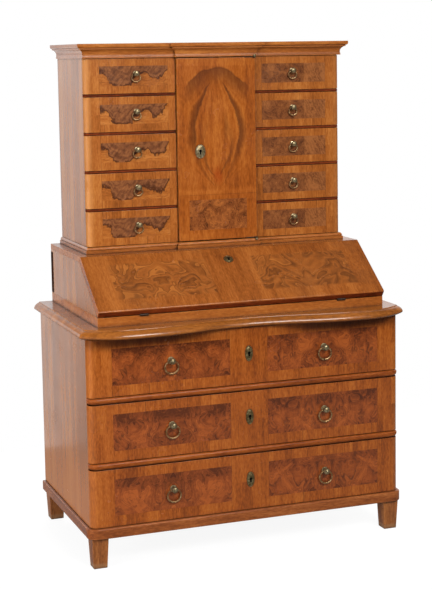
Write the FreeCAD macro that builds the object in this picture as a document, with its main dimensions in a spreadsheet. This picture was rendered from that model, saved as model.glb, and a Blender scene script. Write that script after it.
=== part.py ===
# Escritoire: a three-drawer commode, a slant-front writing section and a tabernacle cabinet.
# Millimetres. X runs to the right, the front faces -Y and Z is up. The origin lies on the floor,
# under the middle of the commode top's outline.
import FreeCAD
import Part
import math
import os
import re
import Sketcher

# Driving sizes, in millimetres unless the name says an angle
SIZES = {
    # commode case
    "case_width": 1123.0,
    "case_depth": 610.0,
    "side_thick": 22.0,
    "back_thick": 12.0,
    "bottom_thick": 18.0,
    "feet_height": 103.0,
    "foot_top": 56.0,
    "foot_bottom": 46.0,
    "foot_inset": 12.0,
    "plinth_height": 34.0,
    "plinth_out": 11.0,
    "plinth_round": 33.0,
    "plinth_arris": 4.0,
    # rails between the commode drawers, each with a rounded bead in front
    "rail_height": 22.0,
    "rail_depth": 70.0,
    "bead_out": 8.0,
    "bead_round": 30.0,
    "bead_nose": 10.0,
    "runner_width": 45.0,
    # commode top: a moulded board with a serpentine front, and a raised field
    "top_thick": 29.0,
    "top_step": 3.0,
    "top_overhang": 23.0,
    "nose_rise": 15.0,
    "nose_under": 20.0,
    "field_inset": 18.5,
    "lobe_out": 64.0,
    "hollow_out": 17.0,
    "lobe_inset": 194.5,
    "lobe_half": 200.0,
    "corner_radius": 230.0,
    "corner_setback": 8.0,
    # commode drawers
    "front_thick": 26.0,
    "front_round": 24.0,
    "front_height": 193.0,
    "front_gap": 1.5,
    "slide_gap": 0.4,
    "box_gap": 1.5,
    "box_side": 14.0,
    "box_back": 12.0,
    "box_bottom": 8.0,
    "box_groove": 5.0,
    "box_height": 165.0,
    "box_length": 575.0,
    # writing section
    "desk_width": 1032.0,
    "desk_setback": 29.0,
    "desk_height": 177.0,
    "desk_side_thick": 20.0,
    "desk_top_thick": 20.0,
    "frame_height": 32.0,
    "frame_rail": 60.0,
    "floor_thick": 18.0,
    "fall_angle": 36.0,
    "fall_thick": 24.0,
    "fall_gap": 0.6,
    "fall_seat": 1.0,
    "fall_foot": 0.5,
    "side_relief": 1.0,
    "pigeon_depth": 190.0,
    "pigeon_thick": 8.0,
    "pigeon_shelf": 74.0,
    # butt hinges of the fall
    "hinge_out": 0.5,
    "hinge_place": 357.0,
    "hinge_length": 30.0,
    "knuckle_radius": 4.5,
    "knuckle_gap": 0.5,
    "pin_radius": 1.5,
    "pin_gap": 0.08,
    "leaf_thick": 1.5,
    "leaf_width": 22.0,
    # cabinet
    "cabinet_width": 945.0,
    "cabinet_depth": 331.0,
    "cabinet_side": 18.0,
    "partition_thick": 16.0,
    "top_board_thick": 20.0,
    "break_out": 12.0,
    "divider_thick": 8.0,
    "divider_back": 2.0,
    "shelf_thick": 14.0,
    "shelf_rise": 330.0,
    "shelf_back": 14.0,
    # base moulding and cornice of the cabinet
    "base_height": 23.0,
    "base_out": 9.0,
    "base_flat": 11.5,
    "base_step": 5.5,
    "base_lip": 1.5,
    "cornice_height": 49.0,
    "cornice_out": 26.0,
    "cornice_lip": 5.0,
    "cornice_lip_height": 4.0,
    "cove_out": 15.0,
    "cove_height": 30.0,
    "cove_hollow": 4.0,
    "shelf_out": 19.0,
    "ovolo_height": 35.0,
    "fillet_height": 40.5,
    # door
    "door_width": 289.0,
    "door_thick": 30.0,
    "door_side_gap": 2.5,
    "pivot_in": 3.5,
    "pivot_out": 4.0,
    "pivot_gap": 0.5,
    "eye_radius": 4.0,
    "plate_thick": 2.5,
    "plate_length": 40.0,
    "plate_depth": 16.0,
    # small drawers of the cabinet
    "small_front_thick": 19.0,
    "small_round": 17.0,
    "small_front_height": 119.5,
    "small_gap": 1.2,
    "small_box_side": 9.0,
    "small_box_back": 8.0,
    "small_box_bottom": 6.0,
    "small_box_height": 100.0,
    "small_box_length": 300.0,
    # ring pulls of the commode
    "pull_place": 277.0,
    "pull_rise": 8.0,
    "knob_radius": 13.0,
    "knob_reach": 32.0,
    "knob_cap": 6.5,
    "neck_radius": 7.0,
    "flange_radius": 12.0,
    "flange_thick": 1.5,
    "ring_radius": 21.5,
    "wire_radius": 2.6,
    "ring_out": 9.0,
    # ring pulls of the cabinet
    "small_pull_place": 290.0,
    "small_pull_rise": 8.0,
    "small_knob_radius": 10.5,
    "small_knob_reach": 25.0,
    "small_knob_cap": 5.0,
    "small_neck_radius": 5.0,
    "small_flange_radius": 9.0,
    "small_flange_thick": 1.2,
    "small_ring_radius": 15.5,
    "small_wire_radius": 2.0,
    "small_ring_out": 7.0,
    # shanks and the running room of the rings
    "shank_radius": 3.0,
    "shank_gap": 0.1,
    "ring_room": 0.4,
    # escutcheons and locks
    "plate_oval_width": 28.0,
    "plate_oval_height": 56.0,
    "door_oval_width": 46.0,
    "door_oval_height": 55.0,
    "fall_plate_width": 32.0,
    "escutcheon_thick": 1.8,
    "keyhole_radius": 5.0,
    "keyhole_slot": 5.0,
    "keyhole_drop": 13.0,
    "key_bore": 5.0,
    "lock_width": 70.0,
    "lock_height": 55.0,
    "lock_thick": 13.0,
    "door_key_place": 64.0,
    "door_key_rise": 314.0,
    "fall_key_drop": 56.0,
}

SMALL_ROWS = 5
LOWER_BAYS = 3
UPPER_BAYS = 6
RING_SIDES = 8
NOSE_STEPS = 3

# Levels and planes worked out from the driving sizes
NAMED = {
    "half_case": "case_width / 2",
    "inner_half": "half_case - side_thick",
    "half_top": "half_case + top_overhang",
    "back_y": "(case_depth + front_thick + lobe_out) / 2",
    "inner_back_y": "back_y - back_thick",
    "joint_y": "back_y - case_depth",
    "face_y": "joint_y - front_thick",
    "lobe_y": "face_y - lobe_out",
    "corner_y": "face_y + corner_setback",
    "plinth_top": "feet_height + plinth_height",
    "bay": "front_height + 2 * front_gap",
    "lower_rail_z": "plinth_top + bay",
    "upper_rail_z": "lower_rail_z + rail_height + bay",
    "case_top": "upper_rail_z + rail_height + bay",
    "top_z": "case_top + top_thick + top_step",
    "box_half": "inner_half - box_gap",
    "half_desk": "desk_width / 2",
    "inner_desk": "half_desk - desk_side_thick",
    "frame_y": "face_y + desk_setback",
    "frame_top": "top_z + frame_height",
    "desk_z": "frame_top + desk_height",
    "ceiling_z": "desk_z - desk_top_thick",
    "run": "cos(fall_angle * 1deg)",
    "rise": "sin(fall_angle * 1deg)",
    "hinge_y": "frame_y - hinge_out",
    "hinge_z": "frame_top + hinge_out",
    "fall_face": "fall_seat + fall_thick",
    "fall_end": "(desk_z - hinge_z - fall_face * run) / rise - fall_gap",
    "pigeon_y": "inner_back_y - pigeon_depth",
    "half_cab": "cabinet_width / 2",
    "inner_cab": "half_cab - cabinet_side",
    "cab_joint_y": "back_y - cabinet_depth",
    "cab_face_y": "cab_joint_y - small_front_thick",
    "door_y": "cab_face_y - break_out",
    "cab_z": "desk_z + base_height",
    "small_bay": "small_front_height + 2 * small_gap",
    "cab_top": f"cab_z + {SMALL_ROWS} * small_bay + {SMALL_ROWS - 1} * divider_thick",
    "full_height": "cab_top + cornice_height",
    "board_z": "full_height - top_board_thick",
    "half_door": "door_width / 2",
    "small_inner_x": "half_door + door_side_gap",
    "half_break": "half_door + door_side_gap / 2",
    "partition_in": "half_break - partition_thick / 2",
    "partition_out": "half_break + partition_thick / 2",
    "door_room": "plate_thick + pivot_gap",
    "door_low": "cab_z + door_room",
    "door_high": "cab_top - door_room",
    "pivot_x": "half_door - pivot_in",
    "pivot_y": "door_y - pivot_out",
    "small_box_in": "partition_out + box_gap",
    "small_box_out": "inner_cab - box_gap",
}

doc = FreeCAD.newDocument("Escritoire")
sheet = doc.addObject("Spreadsheet::Sheet", "Sizes")
for row, (alias, size) in enumerate(SIZES.items(), start=1):
    sheet.set(f"A{row}", alias)
    sheet.set(f"B{row}", str(size))
    sheet.setAlias(f"B{row}", alias)
doc.recompute()

nodes = []


def formula(text):
    """Write a size or level in terms of the sheet's cells."""
    def cell(match):
        word = match.group(0)
        if word in NAMED:
            return f"({formula(NAMED[word])})"
        return f"Sizes.{word}" if word in SIZES else word

    return re.sub(r"(?<![\w.])[a-z_]\w*", cell, text)


def number(text):
    return float(sheet.evalExpression(formula(text)))


def bind(thing, **properties):
    """Tie an object's properties to formulas of the sheet; __ stands for a dot in the property's name."""
    for name, text in properties.items():
        thing.setExpression(name.replace("__", "."), formula(text))


def place(thing, x="0", y="0", z="0", turn=None):
    """Put an object at a point, turned about an axis by an angle formula."""
    if turn:
        axis, angle = turn
        rotation = FreeCAD.Rotation(FreeCAD.Vector(*axis), number(angle))
        thing.Placement = FreeCAD.Placement(FreeCAD.Vector(), rotation)
    bind(thing, Placement__Base__x=x, Placement__Base__y=y, Placement__Base__z=z)
    return thing


def node(label, *pieces):
    """Name a sub-part: one solid, or a group of separate solids."""
    thing = pieces[0]
    if len(pieces) > 1:
        thing = doc.addObject("Part::Compound", label)
        thing.Links = list(pieces)
    thing.Label = label
    nodes.append(thing)
    return thing


def board(name, x, y, z):
    """A square-edged board between two planes on each axis."""
    box = doc.addObject("Part::Box", name)
    bind(box, Length=f"{x[1]} - ({x[0]})", Width=f"{y[1]} - ({y[0]})", Height=f"{z[1]} - ({z[0]})")
    return place(box, x[0], y[0], z[0])


def pair(name, x, y, z):
    """A board on the right and its mirror image on the left."""
    left = board(f"{name}_left", (f"-({x[1]})", f"-({x[0]})"), y, z)
    return [left, board(f"{name}_right", x, y, z)]


def rod(name, radius, length, turn=((0, 1, 0), "90")):
    """A round bar from the origin, along X unless turned another way."""
    bar = doc.addObject("Part::Cylinder", name)
    bind(bar, Radius=radius, Height=length)
    return place(bar, turn=turn)


def fuse(name, pieces):
    joined = doc.addObject("Part::MultiFuse", name)
    joined.Shapes = pieces
    return joined


def cut(name, base, tools):
    for count, tool in enumerate(tools):
        result = doc.addObject("Part::Cut", f"{name}_{count}")
        result.Base = base
        result.Tool = tool
        base = result
    return base


def add_sketch(body, name, role, height="0"):
    """A sketch on one of the body's own planes, raised along the plane's normal."""
    plane = [feature for feature in body.Origin.OriginFeatures if feature.Role == role][0]
    sketch = body.newObject("Sketcher::SketchObject", name)
    sketch.AttachmentSupport = [(plane, "")]
    sketch.MapMode = "FlatFace"
    bind(sketch, AttachmentOffset__Base__z=height)
    return sketch


def fix_point(sketch, line, end, x, y):
    """Hold a point of the sketch at two formulas from its origin."""
    for kind, text in (("DistanceX", x), ("DistanceY", y)):
        index = sketch.addConstraint(Sketcher.Constraint(kind, -1, 1, line, end, number(text)))
        sketch.setExpression(f"Constraints[{index}]", formula(text))


def add_polygon(sketch, points):
    corners = [FreeCAD.Vector(number(x), number(y), 0) for x, y in points]
    lines = []
    for start, end in zip(corners, corners[1:] + corners[:1]):
        lines.append(sketch.addGeometry(Part.LineSegment(start, end)))
    for line, following in zip(lines, lines[1:] + lines[:1]):
        sketch.addConstraint(Sketcher.Constraint("Coincident", line, 2, following, 1))
    for line, (x, y) in zip(lines, points):
        fix_point(sketch, line, 1, x, y)


def add_circle(sketch, x, y, radius):
    centre = FreeCAD.Vector(number(x), number(y), 0)
    circle = sketch.addGeometry(Part.Circle(centre, FreeCAD.Vector(0, 0, 1), number(radius)))
    fix_point(sketch, circle, 3, x, y)
    index = sketch.addConstraint(Sketcher.Constraint("Radius", circle, number(radius)))
    sketch.setExpression(f"Constraints[{index}]", formula(radius))


def add_feature(body, kind, name, profile, **properties):
    feature = body.newObject(f"PartDesign::{kind}", name)
    feature.Profile = profile
    bind(feature, **properties)
    body.Tip = feature
    doc.recompute()
    return feature


def prism(name, role, points, low, high):
    """A body padded from a straight-sided outline, between two levels along the plane's normal."""
    body = doc.addObject("PartDesign::Body", name)
    sketch = add_sketch(body, f"{name}_outline", role, low)
    add_polygon(sketch, points)
    add_feature(body, "Pad", f"{name}_pad", sketch, Length=f"{high} - ({low})")
    return body


def round_edges(body, radius, wanted):
    """Round the edges of the body that pass a test of their middle point and their direction."""
    base = body.Tip
    chosen = []
    for index, edge in enumerate(base.Shape.Edges, start=1):
        middle = edge.valueAt((edge.FirstParameter + edge.LastParameter) / 2)
        box = edge.BoundBox
        if wanted(middle, box):
            chosen.append(f"Edge{index}")
    fillet = body.newObject("PartDesign::Fillet", f"{body.Name}_round")
    fillet.Base = (base, chosen)
    bind(fillet, Radius=radius)
    body.Tip = fillet
    doc.recompute()


def drill(body, role, draw):
    """Pocket right through the body, both ways from a plane."""
    before = body.Tip.Shape.Volume
    sketch = add_sketch(body, f"{body.Name}_hole", role)
    draw(sketch)
    pocket = body.newObject("PartDesign::Pocket", f"{body.Name}_pocket")
    pocket.Profile = sketch
    pocket.Type = "ThroughAll"
    pocket.Midplane = True
    body.Tip = pocket
    doc.recompute()
    if not pocket.Shape.Volume < before:
        raise RuntimeError(f"{body.Name}: the pocket cut nothing")


def same(a, b):
    return abs(a - b) < 0.01


# Commode

def serpentine(inset):
    """Outline of the commode top, taken in by inset: straight sides and back, and a front of tangent arcs.

    The front's last arc meets each side at a corner, where the moulding is mitred.
    """
    half = number("half_top")
    back = number("back_y")
    lobe_x = half - number("lobe_inset")
    lobe_y = number("lobe_y")
    hollow_y = number("face_y - hollow_out")
    corner_radius = number("corner_radius")
    # the hollow's and the lobe's circles touch, so their radii share the distance between their centres
    depth = hollow_y - lobe_y
    spread = (lobe_x ** 2 + depth ** 2) / (2 * depth)
    lobe_radius = spread * number("lobe_half") / lobe_x
    hollow_radius = spread - lobe_radius
    hollow_centre = FreeCAD.Vector(0, hollow_y - hollow_radius, 0)
    lobe_centre = FreeCAD.Vector(lobe_x, lobe_y + lobe_radius, 0)
    # the last arc's circle passes through the corner, and touches the lobe's circle from inside
    toward = FreeCAD.Vector(half, number("corner_y"), 0) - lobe_centre
    reach = lobe_radius - corner_radius
    along = (reach ** 2 - corner_radius ** 2 + toward.Length ** 2) / (2 * toward.Length)
    aside = math.sqrt(reach ** 2 - along ** 2)
    toward.normalize()
    corner_centre = lobe_centre + toward * along + FreeCAD.Vector(toward.y, -toward.x, 0) * aside

    def on_circle(centre, radius, direction):
        return centre + direction.normalize() * radius

    hollow = hollow_radius + inset
    lobe = lobe_radius - inset
    corner = corner_radius - inset
    middle = FreeCAD.Vector(0, hollow_y + inset, 0)
    bend = on_circle(hollow_centre, hollow, lobe_centre - hollow_centre)
    crest = on_circle(lobe_centre, lobe, FreeCAD.Vector(0, -1, 0))
    turn = on_circle(corner_centre, corner, corner_centre - lobe_centre)
    rear = FreeCAD.Vector(half - inset, back, 0)
    forward = math.sqrt(corner ** 2 - (rear.x - corner_centre.x) ** 2)
    side = FreeCAD.Vector(rear.x, corner_centre.y - forward, 0)
    shoulder = on_circle(corner_centre, corner, (turn + side) * 0.5 - corner_centre)

    def mirror(point):
        return FreeCAD.Vector(-point.x, point.y, 0)

    right = [Part.Arc(bend, crest, turn), Part.Arc(turn, shoulder, side), Part.LineSegment(side, rear)]
    left = [Part.Arc(mirror(bend), mirror(crest), mirror(turn)),
            Part.Arc(mirror(turn), mirror(shoulder), mirror(side)),
            Part.LineSegment(mirror(side), mirror(rear))]
    return [Part.Arc(mirror(bend), middle, bend)] + right + [Part.LineSegment(rear, mirror(rear))] + left


def nose_section():
    """The moulded edge's section from the underside up to the field, as (inset, height) pairs."""
    rise, thick = number("nose_rise"), number("top_thick")
    under, over = number("nose_under"), number("field_inset")
    quarter = [math.pi / 2 * step / NOSE_STEPS for step in range(NOSE_STEPS + 1)]
    lower = [(under - under * math.sin(turn), rise - rise * math.cos(turn)) for turn in quarter]
    upper = [(over - over * math.cos(turn), rise + (thick - rise) * math.sin(turn)) for turn in quarter[1:]]
    return lower + upper + [(over, thick + number("top_step"))]


def make_top():
    """A board lofted through its outline at each height of the moulded edge."""
    low = number("case_top")
    wires = []
    for inset, height in nose_section():
        outline = Part.Wire([edge.toShape() for edge in serpentine(inset)])
        outline.translate(FreeCAD.Vector(0, 0, low + height))
        wires.append(outline)
    top = doc.addObject("Part::Feature", "moulded_board")
    top.Shape = Part.makeLoft(wires, True, True)
    node("commode_top", top)


def make_plinth():
    left, right, face = "-(half_case + plinth_out)", "half_case + plinth_out", "face_y - plinth_out"
    outline = [(left, face), (right, face), (right, "joint_y"), (left, "joint_y")]
    body = prism("plinth_front", "XY_Plane", outline, "feet_height", "plinth_top")
    front, top, joint = number(face), number("plinth_top"), number("joint_y")
    round_edges(body, "plinth_round", lambda middle, box: same(middle.y, front) and box.ZLength > 1)

    def upper_front(middle, box):
        return same(box.ZLength, 0) and same(middle.z, top) and not same(middle.y, joint)

    round_edges(body, "plinth_arris", upper_front)
    bands = []
    for side, sign in (("left", -1), ("right", 1)):
        inner, outer = f"{sign} * half_case", f"{sign} * (half_case + plinth_out)"
        shoulder = f"{sign} * (half_case + plinth_out - plinth_arris)"
        section = [(inner, "feet_height"), (outer, "feet_height"), (outer, "plinth_top - plinth_arris"),
                   (shoulder, "plinth_top"), (inner, "plinth_top")]
        bands.append(prism(f"plinth_{side}", "XZ_Plane", section, "-back_y", "-joint_y"))
    node("plinth", body, *bands)


def make_feet():
    feet = []
    x = "half_case + plinth_out - foot_inset - foot_top / 2"
    front = "face_y - plinth_out + foot_inset + foot_top / 2"
    back = "back_y - foot_top / 2"
    low, high = ("-foot_bottom / 2", "foot_bottom / 2"), ("-foot_top / 2", "foot_top / 2")
    for corner, sign, y in (("front_left", -1, front), ("front_right", 1, front),
                            ("back_left", -1, back), ("back_right", 1, back)):
        foot = doc.addObject("Part::Wedge", f"foot_{corner}")
        bind(foot, Ymin="0", Ymax="feet_height")
        bind(foot, Xmin=low[0], Xmax=low[1], Zmin=low[0], Zmax=low[1])
        bind(foot, X2min=high[0], X2max=high[1], Z2min=high[0], Z2max=high[1])
        feet.append(place(foot, f"{sign} * ({x})", y, "0", ((1, 0, 0), "90")))
    node("feet", *feet)


def make_rails():
    pieces = []
    for name, z in (("lower", "lower_rail_z"), ("upper", "upper_rail_z")):
        top = f"{z} + rail_height"
        pieces.append(board(f"{name}_rail", ("-inner_half", "inner_half"), ("joint_y", "joint_y + rail_depth"),
                            (z, top)))
        bead = prism(f"{name}_bead", "XY_Plane",
                     [("-half_case", "face_y - bead_out"), ("half_case", "face_y - bead_out"),
                      ("half_case", "joint_y"), ("-half_case", "joint_y")], z, top)
        front, joint = number("face_y - bead_out"), number("joint_y")
        round_edges(bead, "bead_round", lambda middle, box: same(middle.y, front) and box.ZLength > 1)
        round_edges(bead, "bead_nose", lambda middle, box: same(box.ZLength, 0) and not same(middle.y, joint))
        pieces.append(bead)
    node("drawer_rails", *pieces)
    runners = []
    for name, z in (("lower", "lower_rail_z"), ("upper", "upper_rail_z")):
        runners += pair(f"{name}_runner", ("inner_half - runner_width", "inner_half"),
                        ("joint_y + rail_depth", "inner_back_y"), (z, f"{z} + rail_height"))
    node("drawer_runners", *runners)


def make_commode():
    node("commode_sides", *pair("commode_side", ("inner_half", "half_case"), ("joint_y", "back_y"),
                                ("feet_height", "case_top")))
    node("commode_bottom", board("commode_floor", ("-inner_half", "inner_half"), ("joint_y", "inner_back_y"),
                                 ("plinth_top - bottom_thick", "plinth_top")))
    make_top()
    make_plinth()
    make_feet()
    make_rails()


# Fittings

def make_post(name, kind, x, y, z, grip):
    """A turned knob with a cross hole for its ring, and a shank through the front behind it.

    grip is the thickness of the front. The head starts where the lifted ring clears it.
    """
    ring, wire = f"{kind}ring_radius", f"{kind}wire_radius"
    neck, knob = f"{kind}neck_radius", f"{kind}knob_radius"
    room = f"({ring} - {wire} - ring_room)"
    neck_end = f"{kind}ring_out + {ring} - sqrt({room} * {room} - {neck} * {neck})"
    rim = f"{kind}ring_out + {ring} - sqrt({room} * {room} - {knob} * {knob})"
    body = doc.addObject("PartDesign::Body", name)
    sketch = add_sketch(body, f"{name}_profile", "XY_Plane")
    add_polygon(sketch, [("0", grip), ("shank_radius", grip), ("shank_radius", "0"),
                         (f"{kind}flange_radius", "0"), (f"{kind}flange_radius", f"-{kind}flange_thick"),
                         (neck, f"-{kind}flange_thick"), (neck, f"-({neck_end})"), (knob, f"-({rim})"),
                         (knob, f"-(2 * ({rim}) + {kind}knob_reach) / 3"),
                         (f"({knob} + {kind}knob_cap) / 2", f"-(({rim}) + 4 * {kind}knob_reach) / 5"),
                         (f"{kind}knob_cap / 2", f"-{kind}knob_reach"), ("0", f"-{kind}knob_reach")])
    turned = body.newObject("PartDesign::Revolution", f"{name}_turned")
    turned.Profile = sketch
    turned.ReferenceAxis = (sketch, ["V_Axis"])
    body.Tip = turned
    doc.recompute()
    # the bore leaves room for the bend of the ring inside the neck
    bore = f"{wire} + {ring} - sqrt({ring} * {ring} - {neck} * {neck}) + ring_room"
    drill(body, "YZ_Plane", lambda hole: add_circle(hole, f"-{kind}ring_out", "0", bore))
    return place(body, x, y, z)


def make_ring(label, kind, x, y, z):
    """A cast ring that hangs in its knob's cross hole."""
    body = doc.addObject("PartDesign::Body", f"{label}_body")
    sketch = add_sketch(body, f"{label}_section", "XY_Plane")
    angles = [(360.0 / RING_SIDES) * (step + 0.5) for step in range(RING_SIDES)]
    add_polygon(sketch, [(f"{kind}ring_radius + {kind}wire_radius * cos({angle} * 1deg)",
                          f"{kind}wire_radius * sin({angle} * 1deg)") for angle in angles])
    cast = body.newObject("PartDesign::Revolution", f"{label}_cast")
    cast.Profile = sketch
    cast.ReferenceAxis = (sketch, ["V_Axis"])
    body.Tip = cast
    doc.recompute()
    node(label, place(body, x, f"{y} - {kind}ring_out", f"{z} - {kind}ring_radius"))


def make_escutcheon(name, width, height):
    """An oval key plate in the XZ plane, standing out towards -Y, with a keyhole."""
    body = doc.addObject("PartDesign::Body", name)
    sketch = add_sketch(body, f"{name}_oval", "XZ_Plane")
    half_wide, half_high = number(width) / 2, number(height) / 2
    centre, axis = FreeCAD.Vector(0, 0, 0), FreeCAD.Vector(0, 0, 1)
    if half_high > half_wide:
        top, side = FreeCAD.Vector(0, half_high, 0), FreeCAD.Vector(half_wide, 0, 0)
        sketch.addGeometry(Part.Ellipse(top, side, centre))
    else:
        sketch.addGeometry(Part.Circle(centre, axis, half_wide))
    add_feature(body, "Pad", f"{name}_plate", sketch, Length="escutcheon_thick")
    drill(body, "XZ_Plane", lambda hole: add_circle(hole, "0", "0", "keyhole_radius"))
    slot = [("-keyhole_slot / 2", "0"), ("keyhole_slot / 2", "0"),
            ("keyhole_slot / 2", "-keyhole_drop"), ("-keyhole_slot / 2", "-keyhole_drop")]
    drill(body, "XZ_Plane", lambda hole: add_polygon(hole, slot))
    return body


def make_lock(name, x, y, z):
    """A box lock on the inner face, behind its keyhole."""
    return board(name, (f"{x} - lock_width / 2", f"{x} + lock_width / 2"), (y, f"{y} + lock_thick"),
                 (f"{z} - lock_height / 2", f"{z} + lock_height / 2"))


# Drawers

def make_box(name, inner, outer, y, z, kind, length):
    """Sides, back and bottom of a drawer, behind its front."""
    side, back, bottom, height = (f"{kind}box_{part}" for part in ("side", "back", "bottom", "height"))
    x_in, x_out = f"{inner} + {side}", f"{outer} - {side}"
    end = f"{y} + {length}"
    levels = (z, f"{z} + {height}")
    return [board(f"{name}_left", (inner, x_in), (y, end), levels),
            board(f"{name}_right", (x_out, outer), (y, end), levels),
            board(f"{name}_back", (x_in, x_out), (f"{end} - {back}", end), levels),
            board(f"{name}_bottom", (x_in, x_out), (y, f"{end} - {back}"),
                  (f"{z} + box_groove", f"{z} + box_groove + {bottom}"))]


def make_front(name, x, y, z, radius, ends, bores):
    """A drawer front with rounded ends, bored for its fittings."""
    body = prism(name, "XY_Plane", [(x[0], y[0]), (x[1], y[0]), (x[1], y[1]), (x[0], y[1])], z[0], z[1])
    front = number(y[0])
    rounded = [number(end) for end in ends]
    round_edges(body, radius, lambda middle, box: box.ZLength > 1 and same(middle.y, front)
                and any(same(middle.x, end) for end in rounded))

    def draw(hole):
        for bore in bores:
            add_circle(hole, *bore)

    drill(body, "XZ_Plane", draw)
    return body


def make_large_drawer(level, floor):
    """One long drawer of the commode: its front, box and fittings, and its two rings."""
    z = f"{floor} + front_gap"
    pull_z = f"{z} + front_height / 2 + pull_rise"
    seat = "joint_y - slide_gap"
    shank = "shank_radius + shank_gap"
    ends = ("-half_case", "half_case")
    bores = [("-pull_place", pull_z, shank), ("pull_place", pull_z, shank), ("0", pull_z, "key_bore")]
    node(f"{level}_drawer_front", make_front(f"{level}_front_board", ends, ("face_y", seat),
                                             (z, f"{z} + front_height"), "front_round", ends, bores))
    node(f"{level}_drawer_box", *make_box(f"{level}_box", "-box_half", "box_half", seat,
                                          f"{floor} + slide_gap", "", "box_length"))
    grip = "front_thick - slide_gap"
    posts = [make_post(f"{level}_post_{side}", "", x, "face_y", pull_z, grip)
             for side, x in (("left", "-pull_place"), ("right", "pull_place"))]
    key_plate = place(make_escutcheon(f"{level}_key_plate", "plate_oval_width", "plate_oval_height"),
                      "0", "face_y", pull_z)
    node(f"{level}_drawer_fittings", *posts, key_plate, make_lock(f"{level}_lock", "0", seat, pull_z))
    for side, x in (("left", "-pull_place"), ("right", "pull_place")):
        make_ring(f"{level}_ring_{side}", "", x, "face_y", pull_z)


def make_small_drawer(side, sign, row):
    """One small drawer of the cabinet, with its box, knob and ring; row 1 is the top one."""
    name = f"small_drawer_{side}_{row}"
    floor = f"cab_z + {SMALL_ROWS - row} * (small_bay + divider_thick)"
    z = f"{floor} + small_gap"
    pull_x, pull_z = f"{sign} * small_pull_place", f"{z} + small_front_height / 2 + small_pull_rise"
    seat = "cab_joint_y - slide_gap"
    ends = [f"{sign} * small_inner_x", f"{sign} * half_cab"]
    walls = [f"{sign} * small_box_in", f"{sign} * small_box_out"]
    if sign < 0:
        ends.reverse()
        walls.reverse()
    front = make_front(f"{name}_front", ends, ("cab_face_y", seat), (z, f"{z} + small_front_height"),
                       "small_round", [f"{sign} * half_cab"], [(pull_x, pull_z, "shank_radius + shank_gap")])
    box = make_box(f"{name}_box", walls[0], walls[1], seat, f"{floor} + slide_gap", "small_",
                   "small_box_length")
    post = make_post(f"{name}_post", "small_", pull_x, "cab_face_y", pull_z, "small_front_thick - slide_gap")
    node(name, front, *box, post)
    make_ring(f"small_ring_{side}_{row}", "small_", pull_x, "cab_face_y", pull_z)


# Writing section

def on_fall(along, out):
    """A point of the closed fall: along it from the hinge axis, and out from that line."""
    return (f"hinge_y + ({along}) * run - ({out}) * rise", f"hinge_z + ({along}) * rise + ({out}) * run")


def hinge_half(name, moving):
    """Half of a butt hinge about the X axis, its leaf towards +Y: one middle knuckle, or two on a pin."""
    half, third = "hinge_length / 2", "hinge_length / 6"
    spans = [(f"-({third}) + knuckle_gap / 2", f"{third} - knuckle_gap / 2")]
    level = "-hinge_out - leaf_thick"
    if moving:
        spans = [(f"-({half})", f"-({third}) - knuckle_gap / 2"), (f"{third} + knuckle_gap / 2", half)]
        level = "fall_seat"
    top = f"{level} + leaf_thick"
    clear = "knuckle_radius + knuckle_gap"
    pieces = [board(f"{name}_leaf", (f"-({half})", half), (clear, "leaf_width"), (level, top))]
    for count, (start, end) in enumerate(spans):
        pieces.append(place(rod(f"{name}_knuckle_{count}", "knuckle_radius", f"{end} - ({start})"), start))
        pieces.append(board(f"{name}_neck_{count}", (start, end), ("0", clear), (level, top)))
    if moving:
        pieces.append(place(rod(f"{name}_pin", "pin_radius", "hinge_length"), f"-({half})"))
        return fuse(name, pieces)
    bore = place(rod(f"{name}_bore", "pin_radius + pin_gap", "hinge_length"), f"-({half})")
    return cut(name, fuse(f"{name}_solid", pieces), [bore])


def hinge_seat(name, level):
    """The room that a hinge takes out of the wood: round the knuckles, and under one leaf."""
    length = "hinge_length + knuckle_gap"
    barrel = place(rod(f"{name}_barrel", "knuckle_radius + knuckle_gap", length), f"-({length}) / 2")
    leaf = board(f"{name}_leaf", ("-hinge_length / 2", "hinge_length / 2"), ("0", "leaf_width"),
                 (level, f"{level} + leaf_thick"))
    return fuse(name, [barrel, leaf])


def at_hinge(thing, sign, angle):
    return place(thing, f"{sign} * hinge_place", "hinge_y", "hinge_z", ((1, 0, 0), angle))


def make_fall():
    outline = [on_fall("fall_foot", "fall_seat"), on_fall("fall_foot", "fall_face"),
               on_fall("fall_end", "fall_face"), on_fall("fall_end", "fall_seat")]
    panel = prism("fall_board", "YZ_Plane", outline, "-half_desk", "half_desk")
    seats = [at_hinge(hinge_seat(f"fall_seat_{side}", "fall_seat"), sign, "fall_angle")
             for side, sign in (("left", -1), ("right", 1))]
    key_y, key_z = on_fall("fall_end - fall_key_drop", "fall_face")
    key_bore = place(rod("fall_key_bore", "key_bore", "2 * fall_thick"), "0",
                     *on_fall("fall_end - fall_key_drop", "0"), ((1, 0, 0), "fall_angle"))
    node("fall_front", cut("fall_cut", panel, seats + [key_bore]))
    halves = [at_hinge(hinge_half(f"fall_leaf_{side}", True), sign, "fall_angle")
              for side, sign in (("left", -1), ("right", 1))]
    key_plate = place(make_escutcheon("fall_key_plate", "fall_plate_width", "fall_plate_width"),
                      "0", key_y, key_z, ((1, 0, 0), "fall_angle - 90"))
    lock = board("fall_lock", ("-lock_width / 2", "lock_width / 2"), ("0", "lock_height"), ("0", "lock_thick"))
    lock_y, lock_z = on_fall("fall_end - fall_key_drop - lock_height / 2", "fall_seat - lock_thick")
    place(lock, "-lock_width / 2", lock_y, lock_z, ((1, 0, 0), "fall_angle"))
    node("fall_fittings", *halves, key_plate, lock)


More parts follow.
